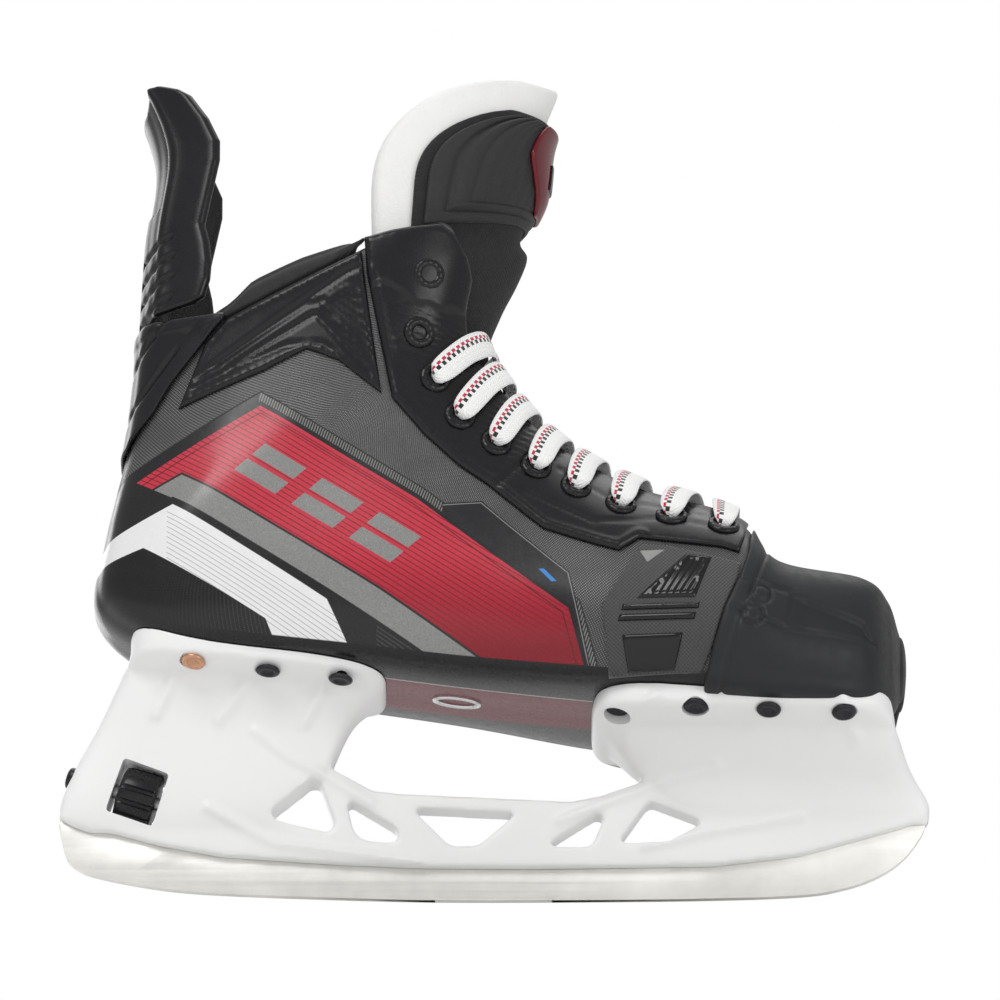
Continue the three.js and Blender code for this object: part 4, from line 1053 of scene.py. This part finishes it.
def tongue_slab(name, outer, inner, first, last, narrow, material, rows, columns=60, relief=None, **options):
    """A layer of the tongue between two offsets of the form, over a run of stations; narrow(s) is the
    share of the tongue's width that it takes up."""
    s = np.linspace(first, last, rows)[:, None]
    v = np.linspace(-1, 1, columns)[None, :] * narrow(s)
    high = outer + (relief(s, v / np.maximum(narrow(s), 1e-6)) if relief else 0)
    return slab(name, tongue_point(s, v, high), tongue_point(s, v, inner), material, **options)


def make_tongue(felt_white, cloth_black, ribbed, red, gloss):
    def share(width, end):
        return lambda s: width * round_top(s, end)

    felt_piece = tongue_slab("tongue_felt", -8.6, -15.2, 3.6, 14.9, share(1, 15.0), felt_white, 150, roll=6,
                             slot="felt", body=None)
    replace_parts(felt_piece, "tongue_base", "tongue_felt")
    cover = tongue_slab("tongue_cover", -6.4, -8.5, 3.7, 14.32, share(0.86, 14.45), cloth_black, 140, roll=3,
                        slot="padding", body=None)
    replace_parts(cover, "tongue_cover")

    def panel_relief(s, f):
        edge = np.minimum(1 - np.abs(f), 0.5)
        lower = np.minimum((s - 12.35) / 0.9, 0.5)
        d = np.minimum(edge, lower)
        raised = 0.8 * np.clip((d - 0.14) / 0.05, 0, 1) - 0.9 * ridge(d - 0.13, 0.022)
        return raised - 0.6 * ridge(d - 0.28, 0.018) + 0.12 * np.sin(f * 2 * math.pi * 12) * (d > 0.3)

    def badge_width(s):
        return 0.3 * round_top(s, 14.4) * (0.3 + 0.7 * np.minimum(1, np.maximum(0, s - 12.5) / 1.1))

    panel = tongue_slab("tongue_panel", -4.7, -6.3, 12.3, 14.22, share(0.81, 14.33), ribbed, 90, columns=110,
                        roll=3, relief=panel_relief, slot="padding")
    badge = tongue_slab("tongue_badge", -2.3, -3.9, 12.55, 14.16, badge_width, red, 60, columns=40, roll=3,
                        slot="badge")
    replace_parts(badge, "tongue_badge")
    centre = tongue_slab("badge_centre", -1.7, -2.4, 13.15, 13.6, lambda s: 0.07 + 0 * s, gloss, 30, columns=24,
                         slot="badge")
    for piece in (panel, badge, centre):
        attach(piece, "tongue_top")
    for piece in (felt_piece, cover):
        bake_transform(piece)


# ------------------------------------------------------------------ eyelets, rivets and lace
EYELETS = [4.14, 4.6, 5.06, 5.55, 6.03, 6.54, 7.1, 7.9, 9.3, 10.8]
EYELET_PLACE = 4.22
LACED = 8


def eyelet(k, side):
    at = form(EYELETS[k], across(EYELET_PLACE, side))
    out = outward(EYELETS[k], across(EYELET_PLACE, side))
    return at, out


def make_eyelets(material):
    profile = [
        (2.3, -3.6), (2.2, 1.5), (2.6, 2.45), (3.3, 2.9), (4.1, 2.95), (4.9, 2.75), (5.45, 2.3), (5.6, 1.75),
        (5.4, 1.3), (2.9, 1.2), (2.9, -3.6), (2.3, -3.6),
    ]
    sides = 48
    for name, side in SIDES:
        for k in range(len(EYELETS)):
            at, out = eyelet(k, side)
            points, faces = turned(profile, at, out, sides)
            ring = points.reshape(len(profile), sides, 3)
            bumps = 0.12 * (np.arange(sides) % 4 < 2)
            ring[3:7] += (out[None, None, :] * bumps[None, :, None])
            node = f"eyelet_{name}_{k + 1}"
            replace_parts(mesh_from(node, ring.reshape(-1, 3), faces, material, slot="gloss_black"), node)


# Each rivet's end of the boot, and its place under the outer side; the inner side mirrors it.
RIVETS = [("rear", -101.8, 21), ("rear", -76.7, 21.5), ("rear", -51.6, 21.5),
          ("front", 43.1, 24), ("front", 69.4, 31), ("front", 94.2, 32), ("front", 119.4, 30)]
FLANGE = 4.6  # thickness of the holder's flange under the sole
RIVET_LEAN = 0.2  # the front rivets lean outwards


def under_sole(x, y):
    """The lowest place of the form straight above (x, y), and the way out of it."""
    hit, normal, _, _ = SURFACE.ray_cast(Vector((x, y, 0)), Vector((0, 0, 1)))
    normal = np.array(normal if normal[2] < 0 else -normal)
    if x > 0:
        normal = unit(normal + [0, math.copysign(RIVET_LEAN, y), 0])
    return np.array(hit), normal


def make_rivets(black, copper):
    for name, side in SIDES:
        for i, (end, x, y) in enumerate(RIVETS):
            at, out = under_sole(x, side * y)
            head = FLANGE + 0.3
            profile = [
                (0.01, -2.6), (1.8, -2.6), (1.8, head), (3.9, head - 0.2), (4.25, head + 0.35),
                (4.0, head + 0.9), (3.3, head + 1.25), (2.5, head + 1.3), (2.1, head + 1.0), (1.7, head + 0.6),
                (1.3, head + 0.5), (0.01, head + 0.5),
            ]
            points, faces = turned(profile, at, out, 40)
            material = copper if i == 0 else black
            full = f"rivet_{end}_{name}_{i + 1}"
            piece = mesh_from(full, points, faces, material, slot="copper" if i == 0 else "black_metal")
            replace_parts(piece, full)


# The lace's own measures: 10 mm wide, 1.3 mm thick, 84 inches long. Where its halves cross over the
# tongue, one lies low and one high.
LACE_WIDE, LACE_THICK, LACE_LONG = 10.0, 1.3, 2133.0
LOW_CROSS, HIGH_CROSS = 2.6, 4.6
SIDEWAYS = np.array([0, 1.0, 0])


def over_tongue(s, height):
    row = through(ROWS, np.float64(s))
    up = unit(row[2:4] - row[0:2])
    return tongue_point(np.float64(s), np.float64(0), -6.4) + height * np.array([up[0], 0, up[1]])


def along_facing(s, place):
    return unit(form(s + 0.1, place) - form(s - 0.1, place))


def lace_marks(start):
    """Points of half the lace as (point, width direction, half width), from the middle bar to its end."""
    def at_eyelet(k, side, height, half):
        at, out = eyelet(k, side)
        return at + out * height, along_facing(EYELETS[k], across(EYELET_PLACE, side)), half

    def beside(s, place, height, half):
        return form(s, place, height), along_facing(s, place), half

    marks = [beside(4.14, across(5.1, start), 3.4, 5), beside(4.14, across(4.75, start), 3.6, 4.8),
             at_eyelet(0, start, 4.2, 3.4), at_eyelet(0, start, 1.0, 1.7), at_eyelet(0, start, -2.5, 1.7),
             at_eyelet(0, start, -6.6, 3.0)]
    side = start
    for k in range(LACED - 1):
        a, b = EYELETS[k], EYELETS[k + 1]
        high = HIGH_CROSS if start * (1 if k % 2 else -1) > 0 else LOW_CROSS
        middle = (a + b) / 2
        width = along_facing(middle, 6)
        marks += [
            beside(a + 0.2 * (b - a), across(5.15, side), -6.4, 4.6),
            (over_tongue(a + 0.35 * (b - a), high * 0.55) + [0, side * 7, -0.6], width, 4.9),
            (over_tongue(middle, high), width, 5.0),
            (over_tongue(a + 0.62 * (b - a), high * 0.8 + 0.5) + [0, -side * 7, -0.6], width, 5.0),
            beside(b - 0.2 * (b - a), across(5.2, -side), 3.4, 5.0),
            beside(b - 0.06 * (b - a), across(4.72, -side), 4.4, 4.9),
            at_eyelet(k + 1, -side, 4.8, 3.9), at_eyelet(k + 1, -side, 1.2, 1.7),
            at_eyelet(k + 1, -side, -2.5, 1.7), at_eyelet(k + 1, -side, -6.6, 3.2),
        ]
        side = -side
    marks += [(form(8.32, across(3.75, side), -7.2), along_facing(8.3, across(3.9, side)), 4.4),
              (form(8.45, across(3.6, side), -15.0), SIDEWAYS, 5),
              (np.array([-27, side * 12, 128.0]), SIDEWAYS, 5)]
    return marks, side


def folded(side, spare):
    """The spare end, folded to and fro in flat layers along the footbed."""
    slope = np.array([math.cos(0.125), 0, -math.sin(0.125)])
    up = np.array([math.sin(0.125), 0, math.cos(0.125)])
    centre = np.array([12.0, side * 8.5, 90.7])  # of the folded end, on the footbed
    step, reach, layers = 3.62, 40.0, 5
    points = [centre - slope * 36 + up * 13.0, centre - slope * 30 + up * 8.6]
    used = 0.0
    for i in range(layers):
        height = (layers - 1) / 2 * step - i * step
        way = 1 if i % 2 == 0 else -1
        begin = -24 if i == 0 else -reach * way
        long = min(abs(reach * way - begin), max(spare - used, 0))
        for t in np.linspace(0, 1, 12):
            points.append(centre + slope * (begin + way * long * t) + up * height)
        used += long
        if used >= spare - 1e-6:
            break
        if i + 1 < layers:
            for angle in (math.pi / 4, math.pi / 2, 3 * math.pi / 4):
                beyond = reach + math.sin(angle) * step / 2
                below = height - step / 2 + math.cos(angle) * step / 2
                points.append(centre + slope * way * beyond + up * below)
            used += math.pi * step / 2
    return [(p, SIDEWAYS, LACE_WIDE / 2) for p in points]


def make_lace(material):
    (near, near_side), (far, far_side) = lace_marks(OUTER), lace_marks(INNER)
    middle = [(over_tongue(4.14, 4.6), along_facing(4.14, 6), 5.0)]

    def line_of(spare):
        whole = [*reversed(folded(near_side, spare)), *reversed(near), *middle, *far, *folded(far_side, spare)]
        rows = np.array([[*p, *w, half] for p, w, half in whole])
        for i in range(1, len(rows)):
            if rows[i, 3:6] @ rows[i - 1, 3:6] < 0:
                rows[i, 3:6] *= -1
        gaps = np.linalg.norm(np.diff(rows[:, :3], axis=0), axis=-1)
        knots = np.concatenate([[0], np.cumsum(np.sqrt(np.maximum(gaps, 1e-3)))])
        fine = spline(knots, rows, 14)
        length = np.concatenate([[0], np.cumsum(np.linalg.norm(np.diff(fine[:, :3], axis=0), axis=-1))])
        marks_ = np.linspace(0, length[-1], int(length[-1] / 1.6))
        return np.stack([np.interp(marks_, length, fine[:, i]) for i in range(7)], axis=-1), length[-1]

    spare = 430.0
    for _ in range(4):
        line, length = line_of(spare)
        spare = np.clip(spare + (LACE_LONG - length) / 2, 60, 440)
    points, wide, half = line[:, :3], line[:, 3:6], line[:, 6:7]
    tangent = unit(np.gradient(points, axis=0))
    wide = unit(wide - tangent * np.sum(wide * tangent, axis=-1, keepdims=True))
    normal = np.cross(wide, tangent)
    thick = LACE_THICK / 2 * (1 + 0.9 * (5.0 - half) / 5.0)
    lace = ribbon("lace", points, np.concatenate([half, thick], axis=1), normal, material, 16, slot="lace")
    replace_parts(lace, "lace", "lace_end_outer", "lace_end_inner")


def spline(knots, rows, per_span):
    """A smooth line through rows at uneven knots (centripetal), as many points per span."""
    slope = np.zeros_like(rows)
    before, after = np.diff(knots)[:-1, None], np.diff(knots)[1:, None]
    left, right = np.diff(rows, axis=0)[:-1] / before, np.diff(rows, axis=0)[1:] / after
    slope[1:-1] = (left * after + right * before) / (before + after)
    slope[0], slope[-1] = left[0], right[-1]
    out = []
    for i in range(len(rows) - 1):
        h = knots[i + 1] - knots[i]
        t = np.linspace(0, 1, per_span, endpoint=False)[:, None]
        out.append((2 * t**3 - 3 * t**2 + 1) * rows[i] + (t**3 - 2 * t**2 + t) * h * slope[i]
                   + (-2 * t**3 + 3 * t**2) * rows[i + 1] + (t**3 - t**2) * h * slope[i + 1])
    return np.concatenate([*out, rows[-1:]])


# ------------------------------------------------------------------ holder, runner and quick release
def block_ring(z, x0, x1, half, slope, count=96, sharpness=5):
    """A ring like a rounded rectangle, at height z, from x0 to x1, half wide each way, sloping in x."""
    angle = 2 * math.pi * (np.arange(count) + 0.5) / count

    def bend(v):
        return np.sign(v) * np.abs(v) ** (2 / sharpness)

    x = (x0 + x1) / 2 + (x1 - x0) / 2 * bend(np.cos(angle))
    return np.stack([x, half * bend(np.sin(angle)), z + slope * (x - (x0 + x1) / 2)], axis=-1)


# The towers as rings (z, x0, x1, half width, slope), the bridge between them as an (x, z) outline, and
# the five windows through the bridge.
REAR_TOWER = [
    (24, -138, -66, 5, 0), (28, -147, -63, 6.6, 0), (34, -148.4, -60, 7.9, 0), (48, -142.8, -55, 8.4, 0),
    (60, -136.5, -50, 9.5, 0), (69, -131, -46, 12, -0.06), (75, -127.5, -41, 14.5, -0.1),
    (76.8, -126, -38.5, 20.5, -0.1), (79, -125, -37, 26, -0.1), (81.5, -124.5, -36.5, 27.2, -0.1),
    (88, -124.5, -36.5, 27.2, -0.1),
]
FRONT_TOWER = [
    (27, 76, 148.8, 4.6, 0), (34, 60, 149.2, 7.2, 0), (42, 52, 145, 8.4, 0), (48, 46, 142, 12, 0),
    (55, 40, 139.5, 20, 0), (57, 37, 138.3, 28, 0), (59, 34.5, 137.6, 35, -0.01),
    (61.5, 33.5, 137.4, 37, -0.02), (67, 34.5, 136.5, 36.5, -0.02),
]
BEAM = [
    (-149, 29.5), (-147, 28.4), (-114, 19.3), (-93, 15.3), (-53, 12.5), (-25, 11.3), (8, 11), (75, 11.9),
    (105, 15.5), (140, 25.7), (148.5, 30), (147, 36), (60, 44), (50.5, 41.8), (36.7, 36.8), (26.4, 34.8),
    (-32, 37.6), (-41.6, 38.8), (-56.4, 47.3), (-140, 47),
]
TRUSS = [
    [(-76, 31), (-62, 42.5), (-59.5, 41.8), (-54.5, 27), (-56, 23.6), (-75, 28)],
    [(-50.5, 36), (-33, 25), (-32.6, 20.6), (-36, 19.8), (-45, 21), (-48, 24.5)],
    [(-28, 32.5), (8, 30.5), (-5.4, 18.8), (-15.1, 18.8)],
    [(17.4, 18.6), (35.5, 30.6), (38, 29), (33.4, 18.4)],
    [(42.8, 19.8), (53.2, 35), (72, 27.5), (60, 20)],
]
# The quick release: its bolt lies tilted, and the runner drops square to it.
TILT = math.radians(18)
DIAL_AT = np.array([-121.9, 0, 37])
BOLT = np.array([math.cos(TILT), 0, -math.sin(TILT)])
DROP = np.array([-math.sin(TILT), 0, -math.cos(TILT)])
STEEL_HALF = 1.45
ROCKER = [
    (-148.9, 27.6), (-146.4, 16), (-142.9, 11.8), (-135, 8.4), (-114, 4.3), (-93, 2.4), (-53, 0.8), (-20, 0),
    (20, 0), (71, 0.5), (105, 1.8), (120, 4.3), (131.3, 8.5), (140.2, 14.9), (146.7, 23.9), (148.1, 30.4),
]


def on_bolt(s, h):
    """The (x, z) point s along the bolt from the dial's middle and h above its line."""
    point = DIAL_AT + s * BOLT - h * DROP
    return point[0], point[2]


def steel_top(c):
    """The runner's upper outline with its two posts, grown by clearance c."""
    lean = math.tan(TILT)
    rise = 14
    return [
        (147.6 + c, 31.5 + c), (140, 31 + c), (106 + c, 22 + c), (106 + c + rise * lean, 22 + rise + c),
        (96 - c + rise * lean, 22 + rise + c), (96 - c, 21 + c), (75, 16.8 + c), (8, 15.7 + c), (-53, 17 + c),
        (-86, 20 + c), on_bolt(28.6 + c, -7 + c), on_bolt(28.6 + c, 4.4 + c), on_bolt(16.4 - c, 4.4 + c),
        on_bolt(16.4 - c, -12 + c), (-118, 24.2 + c), (-146, 31 + c),
    ]


def prism(outline, y0, y1):
    """Points and faces of an (x, z) outline drawn out from y0 to y1."""
    points = np.asarray(outline, float)
    n = len(points)
    low = np.stack([points[:, 0], np.full(n, y0), points[:, 1]], axis=-1)
    high = low + [0, y1 - y0, 0]
    sides = [[i, (i + 1) % n, (i + 1) % n + n, i + n] for i in range(n)]
    return np.concatenate([low, high]), [list(range(n))[::-1], [i + n for i in range(n)], *sides]


def rings_solid(rings):
    """Points and faces of a closed body through rings of points."""
    rings = np.asarray(rings, float)
    count = rings.shape[1]
    faces = grid_faces(len(rings), count, closed=True).tolist()
    far_end = [i + count * (len(rings) - 1) for i in range(count)][::-1]
    return rings.reshape(-1, 3), [list(range(count)), *faces, far_end]


def bore(radius, low, high, centre, axis, sides=40):
    points, faces = turned([(radius, low), (radius, high)], centre, axis, sides)
    return points, [list(range(sides))[::-1], *faces.tolist(), [i + sides for i in range(sides)]]


def plain_object(name, points, faces):
    mesh = bpy.data.meshes.new(name)
    mesh.from_pydata((np.asarray(points, float) * MM).tolist(), [], [list(map(int, f)) for f in faces])
    piece = bpy.data.objects.new(name, mesh)
    bpy.context.scene.collection.objects.link(piece)
    fix_normals(piece)
    return piece


def combine(target, tool, operation):
    """Join a tool, given as points and faces, to the target, or cut it away."""
    tool = plain_object("tool", *tool)
    modifier = target.modifiers.new("cut", "BOOLEAN")
    modifier.operation = operation
    modifier.solver = "EXACT"
    modifier.object = tool
    apply_modifiers(target)
    bpy.data.objects.remove(tool, do_unlink=True)


def finish_solid(piece, material, degrees, body, node):
    """Give a finished solid its one material, smooth faces and body, in place of a CAD node."""
    piece.data.materials.clear()
    piece.data.materials.append(material)
    piece.data.shade_smooth()
    smooth_by_angle(piece, degrees)
    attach(piece, body)
    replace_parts(piece, node)


def apply_modifiers(piece):
    graph = bpy.context.evaluated_depsgraph_get()
    fresh = bpy.data.meshes.new_from_object(piece.evaluated_get(graph))
    piece.modifiers.clear()
    old = piece.data
    piece.data = fresh
    bpy.data.meshes.remove(old)


def tower(rows, count):
    marks = np.linspace(0, len(rows) - 1, count)
    return rings_solid([block_ring(*row) for row in through(rows, marks)])


HOLDER_RIDGES = [
    [(-81.6, 58.4), (-69.1, 48.5), (-56.4, 43), (-41.6, 33.8)], [(-97.8, 31.3), (-74.7, 19.1), (-25.3, 12.5)],
    [(22.9, 27.6), (53.6, 39.7), (76.4, 45.2)], [(52.2, 18), (74, 23.5), (104.7, 28.7)],
]
GUSSETS = [
    [(-108, 79), (-116, 64)], [(-82, 77), (-94, 62)], [(-57, 74), (-65, 61)], [(56, 62), (46, 54)],
    [(119, 62), (124, 53)],
]


def raise_ridges(holder):
    """The long moulded ridges and the short gussets under the flanges, on both sides of the holder."""
    mesh = holder.data
    places = np.empty(len(mesh.vertices) * 3)
    mesh.vertices.foreach_get("co", places)
    places = places.reshape(-1, 3) / MM
    x, z = places[:, 0], places[:, 2]
    rise = np.zeros(len(x))
    for lines, height, width in ((HOLDER_RIDGES, 1.3, 1.7), (GUSSETS, 1.6, 2.2)):
        for line in lines:
            rise = np.maximum(rise, height * ridge(line_distance(x, z, line), width))
    side = np.sign(places[:, 1]) * np.clip(np.abs(places[:, 1]) / 3, 0, 1)
    places[:, 1] += rise * side
    mesh.vertices.foreach_set("co", (places * MM).ravel())
    mesh.update()


def make_holder(material):
    holder = plain_object("holder", *prism(BEAM, -5, 5))
    combine(holder, tower(REAR_TOWER, 60), "UNION")
    combine(holder, tower(FRONT_TOWER, 50), "UNION")
    for window in TRUSS:
        combine(holder, prism(smooth_window(window), -20, 20), "DIFFERENCE")
    remesh(holder, 0.9, 10)
    raise_ridges(holder)
    s = np.linspace(0, 9, 120)
    k = np.linspace(0, 12, 97)[:-1]
    room = rings_solid(skin(s[:, None], k[None, :], 0.25))
    combine(holder, room, "DIFFERENCE")
    slot = [*steel_top(0.4), (-170, 36), (-170, -40), (147, -40), (149, 28)]
    combine(holder, prism(slot, -STEEL_HALF - 0.25, STEEL_HALF + 0.25), "DIFFERENCE")
    window = [on_bolt(-8.2, 10.2), on_bolt(8.4, 9.4), on_bolt(8.6, -9.6), on_bolt(-8.4, -9.6)]
    combine(holder, prism(smooth_window(window, 1.6), -12, 12), "DIFFERENCE")
    for radius, low, high in ((10.4, -7.4, 7.4), (2.9, -30, 14), (4.3, -32, -16.2), (5.2, 11, 28.2)):
        combine(holder, bore(radius, low, high, DIAL_AT, BOLT), "DIFFERENCE")
    for side in (-1, 1):
        for _, x, y in RIVETS:
            at, out = under_sole(x, side * y)
            combine(holder, bore(4.7, FLANGE - 0.1, 18, at, out, 32), "DIFFERENCE")
            combine(holder, bore(2.1, -12, 12, at, out, 20), "DIFFERENCE")
    finish_solid(holder, material, 34, "root", "holder")


def smooth_by_angle(piece, degrees):
    piece.data.set_sharp_from_angle(angle=math.radians(degrees))


def remesh(piece, size, rounds):
    modifier = piece.modifiers.new("remesh", "REMESH")
    modifier.mode = "VOXEL"
    modifier.voxel_size = size * MM
    soften = piece.modifiers.new("soften", "SMOOTH")
    soften.factor = 0.5
    soften.iterations = rounds
    apply_modifiers(piece)


def smooth_window(outline, radius=2.2):
    """An outline with its corners rounded."""
    points = np.asarray(outline, float)
    out = []
    for before, corner, after in zip(np.roll(points, 1, 0), points, np.roll(points, -1, 0)):
        a, b = before - corner, after - corner
        cut = min(radius, 0.4 * np.linalg.norm(a), 0.4 * np.linalg.norm(b))
        p, q = corner + unit(a) * cut, corner + unit(b) * cut
        for t in np.linspace(0, 1, 6):
            out.append((1 - t) ** 2 * p + 2 * t * (1 - t) * corner + t**2 * q)
    return np.array(out)


def make_runner(material):
    rocker = smooth_line(ROCKER, 220)
    outline = [*map(tuple, rocker), *steel_top(0)]
    notch = [on_bolt(19.1, -1.9), on_bolt(25.9, -1.9), on_bolt(25.9, 9), on_bolt(19.1, 9)]
    steel = plain_object("runner", *prism(outline, -STEEL_HALF, STEEL_HALF))
    combine(steel, prism(notch, -3, 3), "DIFFERENCE")
    bevel = steel.modifiers.new("bevel", "BEVEL")
    bevel.width = 0.18 * MM
    bevel.segments = 2
    bevel.limit_method = "ANGLE"
    bevel.angle_limit = math.radians(50)
    apply_modifiers(steel)
    finish_solid(steel, material, 30, "runner", "runner")


def make_release(dial_black, steel, black):
    profile = [
        (2.9, -6.6), (7.2, -6.6), (8.6, -6.4), (9.4, -5.9), (9.7, -5.0), (10.0, -3.9), (10.0, 5.6), (9.6, 6.3),
        (9.0, 6.6), (2.9, 6.6), (2.9, -6.6),
    ]
    sides = 288
    points, faces = turned(profile, DIAL_AT, BOLT, sides)
    ring = points.reshape(len(profile), sides, 3)
    angle = np.arange(sides) * 2 * math.pi / sides
    flutes = 12
    flute = np.clip(np.cos(angle * flutes) * 2.2 - 0.7, 0, 1)
    for r in range(3, 9):
        spoke = ring[r] - DIAL_AT
        spoke -= np.outer(spoke @ BOLT, BOLT)
        ring[r] -= unit(spoke) * ((0.9 if r >= 5 else 0.5) * flute)[:, None]
    dial = mesh_from("thumb_dial", ring.reshape(-1, 3), faces, dial_black, body="thumb_dial", slot="dial")
    smooth_by_angle(dial, 40)
    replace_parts(dial, "thumb_dial")
    shaft = plain_object("lock_bolt", *bore(2.5, -19.2, 12, DIAL_AT, BOLT))
    combine(shaft, bore(4.8, 11.5, 24.5, DIAL_AT, BOLT), "UNION")
    gap = [on_bolt(13, -9), on_bolt(30, -9), on_bolt(30, 9), on_bolt(13, 9)]
    combine(shaft, prism(gap, -STEEL_HALF - 0.45, STEEL_HALF + 0.45), "DIFFERENCE")
    combine(shaft, bore(1.5, -3.5, 3.5, DIAL_AT + 21 * BOLT, (0, 1, 0), 24), "UNION")
    finish_solid(shaft, steel, 35, "lock_bolt", "lock_bolt")
    knob = [(0.01, -25.6), (2.6, -25.5), (3.5, -25.0), (3.9, -24.2), (3.9, -19.5), (0.01, -19.5)]
    points, faces = turned(knob, DIAL_AT, BOLT, 48)
    button = mesh_from("release_button", points, faces, black, body="lock_bolt", slot="black_metal")
    smooth_by_angle(button, 40)
    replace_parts(button, "release_button")


def make_vent(mesh_metal, chrome):
    angle = np.linspace(0, 2 * math.pi, 72, endpoint=False)
    long, wide, rim_share = 17.0, 10.0, 0.79
    at, out = under_sole(-12.6, 0)
    forward = unit(np.cross([0, 1.0, 0], out))
    oval = forward * (np.cos(angle) * long / 2)[:, None] + SIDEWAYS * (np.sin(angle) * wide / 2)[:, None]
    profile = [(0.999, -2.0), (1.0, 0.2), (0.97, 0.75), (0.86, 0.8), (0.8, 0.3), (0.8, -0.4), (0.02, -0.5)]
    rings = [at + out * height + oval * share for share, height in profile]
    points, faces = rings_solid(rings)
    piece = mesh_from("sole_vent", points, faces, mesh_metal, slot="vent_mesh")
    piece.data.materials.append(chrome)
    for face in piece.data.polygons:
        from_middle = math.hypot((face.center.x - at[0] * MM) / (long / 2), face.center.y / (wide / 2))
        face.material_index = 1 if from_middle > rim_share * MM else 0
    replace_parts(piece, "sole_vent")


# ------------------------------------------------------------------ build
make_stage()
BLACK = plastic("moulded_black", (0.009, 0.009, 0.011, 1), 0.27, grain=0.12)
TOE = plastic("toe_black", (0.016, 0.017, 0.019, 1), 0.48, grain=0.25)
GLOSS = plastic("gloss_black", (0.005, 0.005, 0.006, 1), 0.16, grain=0.03, coat=0.2)
RED = plastic("badge_red", (0.13, 0.002, 0.008, 1), 0.2, grain=0.03, coat=0.2)
WHITE = plastic("holder_white", (0.88, 0.88, 0.875, 1), 0.34, grain=0.06, spread=0.02)
# Painted highlight: this silver is used only for the side windows' glint patches.
SILVER = plastic("painted_glint_silver", (0.3, 0.3, 0.29, 1), 0.4)
STEEL = metal("ground_steel", (0.95, 0.94, 0.9, 1), 0.42)
BOLT_STEEL = metal("bolt_steel", (0.6, 0.6, 0.6, 1), 0.3)
BLACK_METAL = metal("black_oxide", (0.05, 0.05, 0.055, 1), 0.35)
COPPER = metal("copper", (0.72, 0.4, 0.25, 1), 0.28)
CHROME = metal("chrome", (0.75, 0.75, 0.76, 1), 0.12)
LINING = cloth("lining_cloth", (0.03, 0.03, 0.034, 1), 0.0011, fuzz=0.1)
FOAM = cloth("collar_foam", (0.02, 0.02, 0.022, 1), 0.0007, rough=0.8, fuzz=0.1, depth=0.0001, contrast=0.3)
TONGUE_CLOTH = cloth("tongue_cloth", (0.016, 0.016, 0.018, 1), 0.0012, fuzz=0.08)
RIBBED = cloth("tongue_ribbed", (0.018, 0.018, 0.02, 1), 0.0009, rough=0.65, fuzz=0.08, depth=0.0002)
MESH = cloth("mesh_black", (0.06, 0.06, 0.06, 1), 0.0013, rough=0.5, contrast=0.8)
VENT = cloth("vent_mesh", (0.3, 0.3, 0.31, 1), 0.0012, rough=0.35, flat=False, contrast=0.8)
FELT = felt("white_felt", (0.92, 0.915, 0.9, 1))

make_shell(shell_print())
make_toe_cap(TOE)
make_side_panels(BLACK, GLOSS, MESH, SILVER)
make_lining(LINING)
make_collar(FOAM)
make_guard(BLACK)
make_tongue(FELT, TONGUE_CLOTH, RIBBED, RED, GLOSS)
make_eyelets(BLACK)
make_rivets(BLACK_METAL, COPPER)
make_lace(lace_cloth())
make_holder(WHITE)
make_runner(STEEL)
make_release(BLACK, BOLT_STEEL, BLACK)
make_vent(VENT, CHROME)
